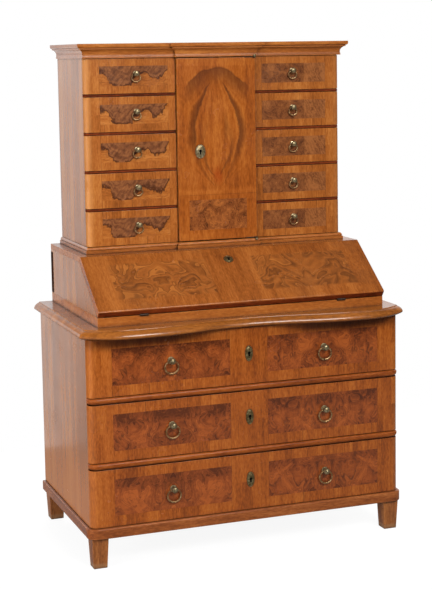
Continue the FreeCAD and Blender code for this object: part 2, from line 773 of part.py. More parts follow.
def make_desk():
    edges = ("frame_y", "frame_y + frame_rail")
    levels = ("top_z", "frame_top")
    front_rail = board("frame_front", ("-half_desk", "half_desk"), edges, levels)
    seats = [at_hinge(hinge_seat(f"frame_seat_{side}", "-hinge_out - leaf_thick"), sign, "0")
             for side, sign in (("left", -1), ("right", 1))]
    side_rails = pair("frame_side", ("half_desk - frame_rail", "half_desk"), (edges[1], "back_y"), levels)
    rear_rail = board("frame_rear", ("-(half_desk - frame_rail)", "half_desk - frame_rail"),
                      ("back_y - frame_rail", "back_y"), levels)
    node("desk_base_frame", cut("frame_front_cut", front_rail, seats), *side_rails, rear_rail)
    node("writing_floor", board("floor_board", ("-(half_desk - frame_rail)", "half_desk - frame_rail"),
                                (edges[1], "back_y - frame_rail"), ("frame_top - floor_thick", "frame_top")))
    # the sides' slanted edges lie just behind the fall, and start behind the hinge line
    seat = "fall_seat - fall_gap"
    toe = "(frame_y + side_relief - hinge_y + (" + seat + ") * rise) / run"
    head = f"(ceiling_z - hinge_z - ({seat}) * run) / rise"
    slanted = [("frame_y + side_relief", "frame_top"), ("back_y", "frame_top"), ("back_y", "ceiling_z"),
               on_fall(head, seat), on_fall(toe, seat)]
    node("desk_sides", prism("desk_side_left", "YZ_Plane", slanted, "-half_desk", "-inner_desk"),
         prism("desk_side_right", "YZ_Plane", slanted, "inner_desk", "half_desk"))
    # the top's front edge is cut square to the fall, so that the fall closes under it
    crest_y = on_fall("fall_end + fall_gap", "fall_face")[0]
    top = [(crest_y, "desk_z"), (f"{crest_y} + desk_top_thick * rise / run", "ceiling_z"),
           ("back_y", "ceiling_z"), ("back_y", "desk_z")]
    node("desk_top", prism("desk_top_board", "YZ_Plane", top, "-half_desk", "half_desk"))


def make_pigeonholes():
    deep = ("pigeon_y", "inner_back_y")
    shelf_z = "frame_top + pigeon_shelf"
    shelf_top = f"{shelf_z} + pigeon_thick"
    pieces = [board("pigeon_shelf_board", ("-inner_desk", "inner_desk"), deep, (shelf_z, shelf_top))]
    for tier, bays, levels in (("lower", LOWER_BAYS, ("frame_top", shelf_z)),
                               ("upper", UPPER_BAYS, (shelf_top, "ceiling_z"))):
        for count in range(1, bays):
            middle = f"inner_desk * {2 * count - bays} / {bays}"
            faces = (f"{middle} - pigeon_thick / 2", f"{middle} + pigeon_thick / 2")
            pieces.append(board(f"pigeon_{tier}_{count}", faces, deep, levels))
    node("pigeonholes", *pieces)


# Cabinet

def break_front(name, rear, low, high):
    """A board whose front steps forward over the width of the door."""
    half = [("half_cab", rear), ("half_cab", "cab_face_y"),
            ("half_break", "cab_face_y"), ("half_break", "door_y")]
    points = half + [(f"-{x}", y) for x, y in reversed(half)]
    return prism(name, "XY_Plane", points, low, high)


def moulding(name, profile, level):
    """Lengths of a moulding round the cabinet's sides and stepped front, mitred where they meet.

    profile draws the section's wire from (out, up) pairs, through a function that gives each pair's point.
    """
    half, side_back = number("half_cab"), number("back_y")
    face, door, step = number("cab_face_y"), number("door_y"), number("half_break")
    right = [(half, side_back), (half, face), (step, face), (step, door)]
    path = [(-x, y) for x, y in right] + list(reversed(right))
    outward = []
    for (x0, y0), (x1, y1) in zip(path, path[1:]):
        length = math.hypot(x1 - x0, y1 - y0)
        outward.append(((y1 - y0) / length, -(x1 - x0) / length))

    def mitre(index):
        """Shift of a corner for each millimetre that the moulding stands out."""
        before, after = outward[max(index - 1, 0)], outward[min(index, len(outward) - 1)]
        if before == after:
            return before
        return before[0] + after[0], before[1] + after[1]

    height = number(level)
    pieces = []
    for index in range(len(outward)):
        wires = []
        for end in (index, index + 1):
            (x, y), (mx, my) = path[end], mitre(end)
            wires.append(profile(lambda out, up: FreeCAD.Vector(x + mx * out, y + my * out, height + up)))
        length = doc.addObject("Part::Feature", f"{name}_{index + 1}")
        length.Shape = Part.makeLoft(wires, True, True)
        pieces.append(length)
    node(name, *pieces)


def cornice_profile(at):
    lip, lip_up = number("cornice_lip"), number("cornice_lip_height")
    cove, cove_up = number("cove_out"), number("cove_height")
    shelf, ovolo_up = number("shelf_out"), number("ovolo_height")
    out, fillet_up, top = number("cornice_out"), number("fillet_height"), number("cornice_height")
    hollow = number("cove_hollow")
    bulge = 0.5 ** 0.5
    cove_middle = at((lip + cove) / 2 - hollow, (lip_up + cove_up) / 2 + hollow)
    ovolo_middle = at(shelf + (out - shelf) * bulge, fillet_up - (fillet_up - ovolo_up) * bulge)
    edges = [Part.LineSegment(at(0, 0), at(lip, 0)), Part.LineSegment(at(lip, 0), at(lip, lip_up)),
             Part.Arc(at(lip, lip_up), cove_middle, at(cove, cove_up)),
             Part.LineSegment(at(cove, cove_up), at(shelf, cove_up)),
             Part.LineSegment(at(shelf, cove_up), at(shelf, ovolo_up)),
             Part.Arc(at(shelf, ovolo_up), ovolo_middle, at(out, fillet_up)),
             Part.LineSegment(at(out, fillet_up), at(out, top)), Part.LineSegment(at(out, top), at(0, top)),
             Part.LineSegment(at(0, top), at(0, 0))]
    return Part.Wire([edge.toShape() for edge in edges])


def base_profile(at):
    out, flat, top = number("base_out"), number("base_flat"), number("base_height")
    step, lip = number("base_step"), number("base_lip")
    bulge = 0.5 ** 0.5
    ovolo_middle = at(lip + (step - lip) * bulge, flat + (top - flat) * bulge)
    edges = [Part.LineSegment(at(0, 0), at(out, 0)), Part.LineSegment(at(out, 0), at(out, flat)),
             Part.LineSegment(at(out, flat), at(step, flat)),
             Part.Arc(at(step, flat), ovolo_middle, at(lip, top)), Part.LineSegment(at(lip, top), at(0, top)),
             Part.LineSegment(at(0, top), at(0, 0))]
    return Part.Wire([edge.toShape() for edge in edges])


def make_dividers():
    """Boards between the small drawers; each shows as a thin strip that rounds the corner with the fronts."""
    pieces = []
    for side, sign in (("left", -1), ("right", 1)):
        for row in range(1, SMALL_ROWS):
            low = f"cab_z + {row} * small_bay + {row - 1} * divider_thick"
            points = [(f"{sign} * {x}", y) for x, y in (
                ("small_inner_x", "cab_face_y + divider_back"), ("half_cab", "cab_face_y + divider_back"),
                ("half_cab", "cab_joint_y"), ("inner_cab", "cab_joint_y"), ("inner_cab", "inner_back_y"),
                ("partition_out", "inner_back_y"), ("partition_out", "cab_joint_y"),
                ("small_inner_x", "cab_joint_y"))]
            divider = prism(f"divider_{side}_{row}", "XY_Plane", points, low, f"{low} + divider_thick")
            front, end = number("cab_face_y + divider_back"), number(f"{sign} * half_cab")
            round_edges(divider, "small_round - divider_back",
                        lambda middle, box: box.ZLength > 1 and same(middle.y, front) and same(middle.x, end))
            pieces.append(divider)
    node("drawer_dividers", *pieces)


def make_cabinet():
    body = ("cab_z", "board_z")
    node("cabinet_sides", *pair("cabinet_side", ("inner_cab", "half_cab"), ("cab_joint_y", "back_y"), body))
    node("cabinet_partitions", *pair("cabinet_partition", ("partition_in", "partition_out"),
                                     ("cab_joint_y", "inner_back_y"), body))
    node("cabinet_boards", break_front("cabinet_base", "back_y", "desk_z", "cab_z"),
         break_front("cabinet_frieze", "cab_joint_y", "cab_top", "board_z"),
         break_front("cabinet_roof", "back_y", "board_z", "full_height"))
    node("door_shelf", board("shelf_board", ("-partition_in", "partition_in"),
                             ("cab_joint_y + shelf_back", "inner_back_y"),
                             ("cab_z + shelf_rise", "cab_z + shelf_rise + shelf_thick")))
    make_dividers()
    moulding("cornice", cornice_profile, "cab_top")
    moulding("cabinet_base_moulding", base_profile, "desk_z")
    backs = [("commode_back", "inner_half", ("feet_height", "case_top")),
             ("desk_back", "inner_desk", ("frame_top", "ceiling_z")), ("cabinet_back", "inner_cab", body)]
    node("back_boards", *[board(name, (f"-{half}", half), ("inner_back_y", "back_y"), levels)
                          for name, half, levels in backs])


# Where a pivot's plate lies in the door's edge: between two planes along X, and along Y
PIVOT_PLATE = ("half_door - plate_length", "half_door"), ("door_y", "door_y + plate_depth")


def pivot_plate(name, low, pin_low=None):
    """A door pivot's flat plate with its eye, on a level; the fixed one carries the pin."""
    levels = (low, f"{low} + plate_thick")

    def upright(part, radius, length, level):
        return place(rod(f"{name}_{part}", radius, length, ((0, 0, 1), "0")), "pivot_x", "pivot_y", level)

    arm = board(f"{name}_arm", ("pivot_x - eye_radius", "pivot_x + eye_radius"), ("pivot_y", "door_y"), levels)
    plate = board(f"{name}_plate", *PIVOT_PLATE, levels)
    pieces = [plate, arm, upright("eye", "eye_radius", "plate_thick", low)]
    if pin_low:
        return fuse(name, pieces + [upright("pin", "pin_radius", "2 * plate_thick + pivot_gap", pin_low)])
    bore = upright("bore", "pin_radius + pin_gap", "plate_thick", low)
    return cut(name, fuse(f"{name}_solid", pieces), [bore])


def make_door():
    leaf = board("door_board", ("-half_door", "half_door"), ("door_y", "door_y + door_thick"),
                 ("door_low", "door_high"))
    seats = [board("door_seat_low", *PIVOT_PLATE, ("door_low", "door_low + plate_thick")),
             board("door_seat_high", *PIVOT_PLATE, ("door_high - plate_thick", "door_high"))]
    key_z = "cab_z + door_key_rise"
    key_bore = place(rod("door_key_bore", "key_bore", "2 * door_thick", ((1, 0, 0), "-90")),
                     "-door_key_place", "door_y - door_thick / 2", key_z)
    node("door_panel", cut("door_cut", leaf, seats + [key_bore]))
    key_plate = place(make_escutcheon("door_key_plate", "door_oval_width", "door_oval_height"),
                      "-door_key_place", "door_y", key_z)
    lock = make_lock("door_lock", "-door_key_place", "door_y + door_thick", key_z)
    node("door_fittings", pivot_plate("door_pivot_low", "door_low"),
         pivot_plate("door_pivot_high", "door_high - plate_thick"), key_plate, lock)


def make_hinge_fixings():
    pivots = [pivot_plate("pivot_low", "cab_z", "cab_z"),
              pivot_plate("pivot_high", "cab_top - plate_thick", "door_high - plate_thick")]
    halves = [at_hinge(hinge_half(f"frame_leaf_{side}", False), sign, "0")
              for side, sign in (("left", -1), ("right", 1))]
    node("hinge_fixings", *pivots, *halves)


make_commode()
for drawer, drawer_floor in (("upper", "upper_rail_z + rail_height"), ("middle", "lower_rail_z + rail_height"),
                             ("lower", "plinth_top")):
    make_large_drawer(drawer, drawer_floor)
make_desk()
make_pigeonholes()
make_fall()
make_cabinet()
make_door()
make_hinge_fixings()
for column, direction in (("left", -1), ("right", 1)):
    for drawer_row in range(1, SMALL_ROWS + 1):
        make_small_drawer(column, direction, drawer_row)

doc.recompute()
for thing in doc.Objects:
    if "Invalid" in thing.State or "Error" in thing.State:
        raise RuntimeError(f"{thing.Label}: {thing.State}")
for thing in nodes:
    if thing.Shape.isNull() or not thing.Shape.isValid() or not thing.Shape.Solids:
        raise RuntimeError(f"{thing.Label} has no sound solid")
os.makedirs("parts", exist_ok=True)
for thing in nodes:
    thing.Shape.exportStep(f"parts/{thing.Label}.step")
print(len(nodes), "sub-parts,", sum(len(thing.Shape.Solids) for thing in nodes), "solids")
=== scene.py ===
from math import acos, atan2, cos, degrees, hypot, pi, radians, sin, sqrt
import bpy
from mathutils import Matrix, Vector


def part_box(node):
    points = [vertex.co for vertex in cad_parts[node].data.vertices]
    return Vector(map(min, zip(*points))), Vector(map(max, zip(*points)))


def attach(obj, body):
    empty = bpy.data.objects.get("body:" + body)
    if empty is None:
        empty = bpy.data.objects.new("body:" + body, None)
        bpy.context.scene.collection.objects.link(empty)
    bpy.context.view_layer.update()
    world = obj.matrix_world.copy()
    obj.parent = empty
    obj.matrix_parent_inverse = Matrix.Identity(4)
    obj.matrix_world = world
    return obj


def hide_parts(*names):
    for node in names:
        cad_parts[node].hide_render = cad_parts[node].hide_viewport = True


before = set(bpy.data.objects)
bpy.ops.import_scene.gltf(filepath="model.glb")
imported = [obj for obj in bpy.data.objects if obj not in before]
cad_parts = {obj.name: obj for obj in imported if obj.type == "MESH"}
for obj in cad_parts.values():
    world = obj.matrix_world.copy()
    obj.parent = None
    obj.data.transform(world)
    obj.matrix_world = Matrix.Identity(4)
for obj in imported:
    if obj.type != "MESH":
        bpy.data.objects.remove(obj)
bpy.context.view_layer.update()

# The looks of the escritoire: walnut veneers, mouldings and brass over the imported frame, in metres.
from types import SimpleNamespace as Sizes

import bmesh
import bpy
from mathutils import Matrix, Vector

SMALL_ROWS = 5
LEVELS = ("upper", "middle", "lower")
SIDES = (("left", -1), ("right", 1))
ALONG_X, ALONG_Y, ALONG_Z = range(3)

# Where the burr panels lie: distances from the middle of the case, and border widths
LARGE_PANEL_X = (0.068, 0.480)
LARGE_BORDERS = (0.036, 0.034)
SMALL_PANEL_X = (0.174, 0.418)
SMALL_BORDER = 0.026
SMALL_HEIGHT = 0.1195
SMALL_PANEL_V = (SMALL_BORDER - SMALL_HEIGHT / 2, SMALL_HEIGHT / 2 - SMALL_BORDER)
DOOR_PANEL_X = 0.107
DOOR_PANEL_Z = (1.072, 1.178)
DOOR_JOINT_Z = 1.195
FALL_PANEL_X = (0.085, 0.435)
FALL_BORDERS = (0.052, 0.046)

# Ring pulls: distances out from the front's face, and radii
LARGE_PULL = Sizes(x=0.277, rise=0.008, ring=0.0215, wide=0.0236, wire=0.0027, out=0.009, neck=0.006,
                   knob=0.0112, reach=0.0275, flange=0.012, shank=0.003)
SMALL_PULL = Sizes(x=0.290, rise=0.008, ring=0.0140, wide=0.0152, wire=0.0021, out=0.007, neck=0.0045,
                   knob=0.0098, reach=0.0212, flange=0.009, shank=0.003)
RING_ROOM = 0.0004

# Camera of the photograph, fitted to its edges
IMAGE_SIZE = (432, 589)
CAMERA_PLACE = Vector((-1.8006, -4.8931, 1.6808))
CAMERA_TURN = radians(-20.55)
CAMERA_DOWN = radians(6.60)
CAMERA_ROLL = radians(-0.87)
CAMERA_FAR = 50.0
FOCAL_PIXELS = 1491.04
MIDDLE_PIXEL = (226.51, 227.07)


# Colours

def srgb(code):
    """A colour given as it shows on screen, red, green and blue, in linear light."""
    def linear(value):
        value /= 255
        return value / 12.92 if value <= 0.04045 else ((value + 0.055) / 1.055) ** 2.4

    return (*map(linear, code.to_bytes(3, "big")), 1.0)


def tones(dark, middle, light):
    """Three colours for the dark, middling and light parts of a figure."""
    return [(0.2, srgb(dark)), (0.5, srgb(middle)), (0.8, srgb(light))]


GOLDEN = tones(0x804418, 0x9F5922, 0xB67032)
DOOR = tones(0x7A3B10, 0x984E17, 0xB06424)
RUSSET = tones(0x70340E, 0x974C16, 0xB06324)
FADED = tones(0x7C4517, 0x9E5C23, 0xB67434)
RED = tones(0x622B0C, 0x8A4315, 0xA85C22)
# Dark walnut for edges, also painted shade on the dividers and the faces in the gaps between fronts
EDGE_AND_SHADE = tones(0x461907, 0x6C2B0C, 0x8C4016)
PLINTH = tones(0x6A3518, 0x8C4C24, 0xA86434)
FOOT = tones(0x683618, 0x8E5226, 0xAA6A36)
SAPWOOD = tones(0x88491B, 0xA55E24, 0xBB7536)
LARGE_BURR = tones(0x54260E, 0x823E18, 0xA05120)
SMALL_BURR = tones(0x58301A, 0x7C4725, 0x985C30)
DOOR_BURR = tones(0x5A2E14, 0x8A4B21, 0xA8622B)
FALL_BURR = tones(0x6E3D19, 0x965422, 0xAE672C)
FALL_BAND = tones(0x763D16, 0x96521F, 0xAE662C)
HEARTWOOD = tones(0x502C1A, 0x764628, 0x985E34)
PINE = tones(0x8C5C32, 0xB2824F, 0xCCA36C)
# Near-black, painted shade for the gaps at the desk's rear edges
GAP_SHADE_TONES = tones(0x1E0E08, 0x2E170D, 0x422415)
VEIN = srgb(0x3E1E10)
PALE_VEIN = srgb(0x542E18)
PORE = srgb(0x4A2410)
# Darkest brown, for dirt and for painted shade in corners, gaps and under things
SHADE_AND_GRIME = srgb(0x2A0F05)
# Pale colour for wear and for painted highlight on arrises and rounded ends
PALE_WEAR_AND_HIGHLIGHT = srgb(0xCC8C50)
# Orange of the painted light low on the sides
PAINTED_LIGHT_ORANGE = srgb(0xBA6616)
BLUSH = srgb(0x96320C)
STAIN = srgb(0x683E22)
SCUFFED = srgb(0x96704C)
TARNISH = srgb(0x221A11)
WHITE = (1.0, 1.0, 1.0, 1.0)


# Nodes

def arithmetic(operation):
    """A method of Value that adds a node for one operation."""
    return lambda self, other=0.0: self.math(operation, other)


class Value:
    """A number, vector or colour made by nodes; arithmetic on it adds the nodes that work it out."""

    def __init__(self, skin, socket):
        self.skin = skin
        self.socket = socket

    def math(self, operation, other=0.0):
        kind = "ShaderNodeMath" if self.socket.type == "VALUE" else "ShaderNodeVectorMath"
        return self.skin.add(kind, 0, {0: self, 1: other}, operation=operation)

    __add__ = arithmetic("ADD")
    __sub__ = arithmetic("SUBTRACT")
    __mul__ = arithmetic("MULTIPLY")
    __truediv__ = arithmetic("DIVIDE")
    __gt__ = arithmetic("GREATER_THAN")
    __lt__ = arithmetic("LESS_THAN")
    __abs__ = arithmetic("ABSOLUTE")

    def split(self):
        node = self.skin.node("ShaderNodeSeparateXYZ", {0: self})
        return [Value(self.skin, part) for part in node.outputs]

    def noise(self, scale, detail=3.0, roughness=0.5, distortion=0.0, output=0):
        inputs = {"Vector": self, "Scale": scale, "Detail": detail, "Roughness": roughness,
                  "Distortion": distortion}
        return self.skin.add("ShaderNodeTexNoise", output, inputs)

    def chance(self):
        return self.skin.add("ShaderNodeTexWhiteNoise", 0, {"W": self}, noise_dimensions="1D")

    def remap(self, low, high, to_low=0.0, to_high=1.0, course="LINEAR"):
        return self.skin.add("ShaderNodeMapRange", 0, {0: self, 1: low, 2: high, 3: to_low, 4: to_high},
                             interpolation_type=course)

    def smooth(self, low, high, to_low=0.0, to_high=1.0):
        return self.remap(low, high, to_low, to_high, "SMOOTHSTEP")

    def fade(self, low, high):
        """1 up to a low level, sinking to 0 at a high one."""
        return self.smooth(low, high, 1.0, 0.0)

    def streak(self, at, width):
        """1 where the value meets a level, fading to 0 a width away."""
        return abs(self - at).fade(0.0, width)

    def within(self, span, soft=0.0006):
        """1 where the value lies in a span, else 0, with soft ends."""
        low, high = span
        return self.smooth(low - soft, low + soft) * self.fade(high - soft, high + soft)

    def blend(self, below, above):
        """One colour where the value is 0, and another where it is 1."""
        return self.skin.add("ShaderNodeMix", 2, {0: self, 6: below, 7: above}, data_type="RGBA")

    def ramp(self, stops):
        node = self.skin.node("ShaderNodeValToRGB", {0: self})
        elements = node.color_ramp.elements
        for element, (position, colour) in ((elements[0], stops[0]), (elements[1], stops[-1])):
            element.position = position
            element.color = colour
        for position, colour in stops[1:-1]:
            elements.new(position).color = colour
        return Value(self.skin, node.outputs[0])

    def drawn(self, points):
        """A curve drawn through (x, y) points between 0 and 1."""
        node = self.skin.node("ShaderNodeFloatCurve", {"Value": self})
        line = node.mapping.curves[0]
        line.points[0].location = points[0]
        line.points[1].location = points[-1]
        for x, y in points[1:-1]:
            line.points.new(x, y)
        node.mapping.update()
        return Value(self.skin, node.outputs[0])


def total(*terms):
    """Sum of values, where one paired with a weight counts from its middle at one half."""
    first, *others = [(term[0] - 0.5) * term[1] if isinstance(term, tuple) else term for term in terms]
    return sum(others, first)


def most(value, *others):
    """The largest of some values."""
    for other in others:
        value = value.math("MAXIMUM", other)
    return value


class Surface:
    """A material under construction, with short calls for its nodes."""

    def __init__(self, name):
        self.material = bpy.data.materials.new(name)
        self.open(self.material, "Principled BSDF")
        coords = self.node("ShaderNodeTexCoord", {})
        self.place = Value(self, coords.outputs["Object"])
        self.layout = Value(self, coords.outputs["UV"])
        self.facing = Value(self, coords.outputs["Normal"])

    def open(self, owner, shader):
        owner.use_nodes = True
        self.tree = owner.node_tree
        self.shader = self.tree.nodes[shader]

    def put(self, socket, value):
        if isinstance(value, Value):
            self.tree.links.new(value.socket, socket)
        else:
            socket.default_value = value

    def node(self, kind, inputs, **settings):
        node = self.tree.nodes.new(kind)
        for name, value in settings.items():
            setattr(node, name, value)
        for key, value in inputs.items():
            self.put(node.inputs[key], value)
        return node

    def add(self, kind, output, inputs, **settings):
        return Value(self, self.node(kind, inputs, **settings).outputs[output])

    def join(self, x, y, z):
        return self.add("ShaderNodeCombineXYZ", 0, {0: x, 1: y, 2: z})

    def ray(self, kind):
        return self.add("ShaderNodeLightPath", kind, {})

    def mirrored(self):
        return most(self.ray("Is Glossy Ray"), self.ray("Is Transmission Ray"))

    def shelter(self, distance, inside=False):
        """How open the surface lies, 0 to 1: low in corners, or along arrises when looking inward."""
        return self.add("ShaderNodeAmbientOcclusion", "AO", {"Distance": distance}, inside=inside, samples=4)

    def bump(self, height, strength, distance=0.0004):
        inputs = {"Height": height, "Strength": strength, "Distance": distance}
        self.put(self.shader.inputs["Normal"], self.add("ShaderNodeBump", 0, inputs))

    def finish(self, colour, roughness, **constants):
        self.put(self.shader.inputs["Base Color"], colour)
        self.put(self.shader.inputs["Roughness"], roughness)
        for name, value in constants.items():
            self.shader.inputs[name.replace("_", " ")].default_value = value
        return self.material


# Woods

BARE = {"grime": 0.6, "rubbed": 0.0, "gloss": (0.6, 0.75), "coat": 0.0}
MATT = {"gloss": (0.6, 0.75), "coat": 0.0, "shine": 0.12}
DULL = {"gloss": (0.28, 0.40), "coat": 0.06, "shine": 0.22}
POLISHED = {"gloss": (0.17, 0.28), "coat": 0.4, "shine": 0.5}
GRAIN = (2.0, 26.0)
FLECK = (60.0, 210.0)
SHADE_AND_DIRT_REACH = 0.012
ARRIS_WEAR_AND_HIGHLIGHT_REACH = 0.0025
COAT_ROUGHNESS = 0.13


def stretched(place, axis, rates):
    """A place scaled by one rate along an axis and by another across it."""
    return place * [rates[0] if index == axis else rates[1] for index in range(3)]


def straight_tone(place, axis, lively=1.0):
    """Light and dark of straight-grained wood about one half, and its pores; a calm one isn't lively."""
    grain = stretched(place, axis, GRAIN)
    broad = grain.noise(0.8, 2, distortion=0.4)
    middling = grain.noise(3.6, 3, 0.6)
    fine = grain.noise(15.0, 3, 0.7)
    cloud = place.noise(6.0, 2)
    fleck = stretched(place, axis, FLECK).noise(1.0, 2, 0.6)
    tone = total((fleck, 0.80 * lively), (broad, 0.75), (middling, 0.55 * lively), (fine, 0.40 * lively),
                 (cloud, 0.35), 0.5)
    return tone, fine.smooth(0.60, 0.72)


def straight_wood(place, axis, stops, lift=0.0, lively=1.0):
    """Colour of straight-grained wood, and the height of its surface."""
    tone, pores = straight_tone(place, axis, lively)
    colour = (pores * (0.32 * lively)).blend((tone + lift).ramp(stops), PORE)
    return colour, tone - pores * lively


def aged(skin, colour, height, grime=0.85, rubbed=0.30, gloss=(0.18, 0.30), coat=0.2, shine=0.35, under=0.0):
    """Aged polish: painted shade and dirt in corners, painted highlight and wear on arrises, uneven gloss,
    painted shade on downward faces.
    """
    # Darker where the surface is sheltered: painted shade in corners and gaps, and dirt there too
    dirt = skin.shelter(SHADE_AND_DIRT_REACH).smooth(0.35, 0.90, grime, 0.0)
    # Paler on convex arrises: wear, and a painted highlight
    rub = skin.shelter(ARRIS_WEAR_AND_HIGHLIGHT_REACH, True).smooth(0.45, 0.90, rubbed, 0.0)
    patchy = skin.place.noise(9.0, 4, 0.6)
    colour = (rub * patchy.smooth(0.35, 0.6)).blend(colour, PALE_WEAR_AND_HIGHLIGHT)
    colour = dirt.blend(colour, SHADE_AND_GRIME)
    # Darker on faces turned downward: painted shade
    if under:
        facing = skin.facing.split()[ALONG_Z]
        colour = facing.smooth(-0.30, -0.90, 0.0, under).blend(colour, SHADE_AND_GRIME)
    skin.bump(height, 0.10)
    roughness = patchy.remap(0.3, 0.7, *gloss) + dirt * 0.3
    return skin.finish(colour, roughness, Specular_IOR_Level=shine, Coat_Weight=coat,
                       Coat_Roughness=COAT_ROUGHNESS)


def case_wood(name, axis, stops, lift=0.0, **ageing):
    """Solid or plain veneered walnut with its grain along one axis of the frame."""
    skin = Surface(name)
    colour, height = straight_wood(skin.place, axis, stops, lift)
    return aged(skin, colour, height, **ageing)


SIDE_STRIP = 0.085
SIDE_CALM = 0.45
# Painted light on the sides, lighter and more orange towards the floor: from one height to another, and the
# change between them
FOOT_PAINTED_LIGHT = (0.44, 0.16, 0.0, 0.24)
FOOT_PAINTED_WARMTH = (0.46, 0.20, 0.0, 0.45)


def side_wood():
    """Plain veneer in broad soft strips, with painted light making it lighter and more orange towards the
    floor.
    """
    skin = Surface("walnut_faded_sides")
    _, y, z = skin.place.split()
    count = total(y / SIDE_STRIP, (skin.place.noise(1.3, 1), 0.5))
    apart = count.math("FRACT") - 0.5
    # Painted light towards the floor: lighter here, and more orange below
    lift = total((count.math("FLOOR").chance(), 0.20), apart * apart * -0.4, z.smooth(*FOOT_PAINTED_LIGHT))
    colour, height = straight_wood(skin.place, ALONG_Z, FADED, lift, SIDE_CALM)
    return aged(skin, z.smooth(*FOOT_PAINTED_WARMTH).blend(colour, PAINTED_LIGHT_ORANGE), height, **POLISHED)


PLANK = 0.19
PLANK_START = 0.31
PLANK_JOINT = 0.0016
PLANK_CALM = 0.8
# How far the figure moves from one board or piece to the next, so that they differ
NEXT_PIECE = 0.37


def plank_wood():
    """Plain pine in upright boards, with open joints between them."""
    skin = Surface("pine_back_boards")
    count = skin.place.split()[ALONG_X] / PLANK + PLANK_START
    board = count.math("FLOOR")
    joint = count.math("FRACT").streak(0.5, PLANK_JOINT / PLANK)
    place = skin.place + skin.join(0.0, board * NEXT_PIECE, 0.0)
    colour, height = straight_wood(place, ALONG_Z, PINE, total((board.chance(), 0.24)), PLANK_CALM)
    return aged(skin, (joint * 0.85).blend(colour, SHADE_AND_GRIME), height - joint * 4.0, **BARE)


RING_RATE = 13.0


def burr_wood(place, stops, size, swirl, lines=0.75, lift=0.0, vein=VEIN, nested=0.25):
    """Colour of burr walnut, with thin dark outlines round its eyes and loops.

    size is about how far apart the loops lie, swirl how far they are drawn out of shape, lines how dark the
    outlines are, and nested how strongly rings lie within rings.
    """
    often = 1.0 / size
    shift = place.noise(0.8 * often, 2, output=1)
    bent = place + (shift - (0.5, 0.5, 0.5)) * (swirl, swirl, swirl)
    flow = bent.noise(often, 2, distortion=0.5)
    cloud = bent.noise(2.4 * often, 4, 0.6)
    speck = bent.noise(9.0 * often, 3, 0.6)
    strength = place.noise(1.1 * often, 1).smooth(0.36, 0.60, 0.25, 1.0)
    rings = (flow * RING_RATE + cloud * 1.2).math("FRACT")
    beside = most(flow.streak(0.42, 0.014), flow.streak(0.59, 0.014))
    outline = most(flow.streak(0.50, 0.022), beside * 0.75, cloud.streak(0.44, 0.020) * 0.45,
                   rings.smooth(0.80, 1.0) * (1.3 * nested))
    tone = total((flow, 0.85), (cloud, 0.85), (speck, 0.55), (rings, -nested), 0.5)
    return (outline * strength * lines).blend((tone + lift).ramp(stops), vein)


SEAM = 0.0011
LARGE_BAND = 0.088
SMALL_BAND = 0.078
# How far the paling of a rounded end reaches: wear and painted highlight
END_WEAR_AND_HIGHLIGHT_REACH = 0.030


def crossband(u, v, level, width, stops, zones):
    """A border of short upright grain in pieces of uneven width, with the joints between them.

    zones are the distances from the middle where one strip of the border ends and the next begins.
    """
    skin = u.skin
    across = abs(u)
    uneven = skin.join(u * 9.0, level, 0.0).noise(1.0, 0)
    upper = (v > 0.0) * 0.43
    count = u / width + uneven * 1.6 + upper + level * 5.7
    piece = count.math("FLOOR")
    between = (across > zones[0]) * (across < zones[1])
    seam = count.math("FRACT").streak(0.5, SEAM / width) * between
    seam = most(seam, *[across.streak(zone, SEAM) for zone in zones])
    lift = (piece.chance() - 0.5) * 0.13 * between - (across < zones[0]) * 0.03
    place = skin.place + skin.join(piece * NEXT_PIECE, 0.0, 0.0)
    colour, height = straight_wood(place, ALONG_Z, stops, lift)
    return (seam * 0.62).blend(colour, VEIN), height


def pale_wear_and_highlight_end(colour, across, end, share):
    """Paler where a front rounds off at its end: wear, and a painted highlight."""
    uneven = across.skin.place.noise(12.0, 3).smooth(0.30, 0.65, 0.6, 1.0)
    pale = across.smooth(end - END_WEAR_AND_HIGHLIGHT_REACH, end - 0.3 * END_WEAR_AND_HIGHLIGHT_REACH, 0.0, share)
    return (pale * uneven).blend(colour, PALE_WEAR_AND_HIGHLIGHT)


def banded(skin, leaf, band, stops, panel_x, panel_v, end_wear_and_highlight, end):
    """Colour and height of a front: figured leaves in crossbanding, paler at the rounded ends as wear and
    painted highlight.

    A leaf takes the place across, the height above the front's middle, and that middle's level.
    """
    u, v, _ = skin.layout.split()
    level = skin.place.split()[ALONG_Z] - v
    across = abs(u)
    border, height = crossband(u, v, level, band, stops, panel_x)
    mask = across.within(panel_x) * v.within(panel_v)
    return mask.blend(pale_wear_and_highlight_end(border, across, end, end_wear_and_highlight), leaf(u, v, level)), height


# Paling of the large fronts' rounded ends: wear and painted highlight
LARGE_END_WEAR_AND_HIGHLIGHT = 0.12
# Painted shadow of the top's lobes on the uppermost front: up the front, up the case, and out from a lobe
LOBE_SHADOW_RISE = (0.045, 0.0815)
LOBE_SHADOW_LEVEL = (0.60, 0.64)
LOBE_SHADOW_CENTRE = 0.36
LOBE_SHADOW_SPREAD = (0.08, 0.30, 0.80, 0.10)


def large_leaf(u, v, level):
    """Burr matched about each pull, whose heart lies along the top with lighter lobes hanging from it."""
    leaf = u.math("SIGN") * 0.012 + level * 7.0
    figure = u.skin.join(abs(abs(u) - LARGE_PULL.x), leaf, v * 0.8)
    heart = v.smooth(-0.01, 0.055, 0.10, -0.16)
    foot = v.smooth(-0.03, -0.062, 0.0, -0.12)
    right_hand = u.smooth(0.0, 0.1, -0.01, 0.04)
    lift = heart + foot + right_hand
    return burr_wood(figure, LARGE_BURR, size=0.062, swirl=0.060, lines=0.72, lift=lift)


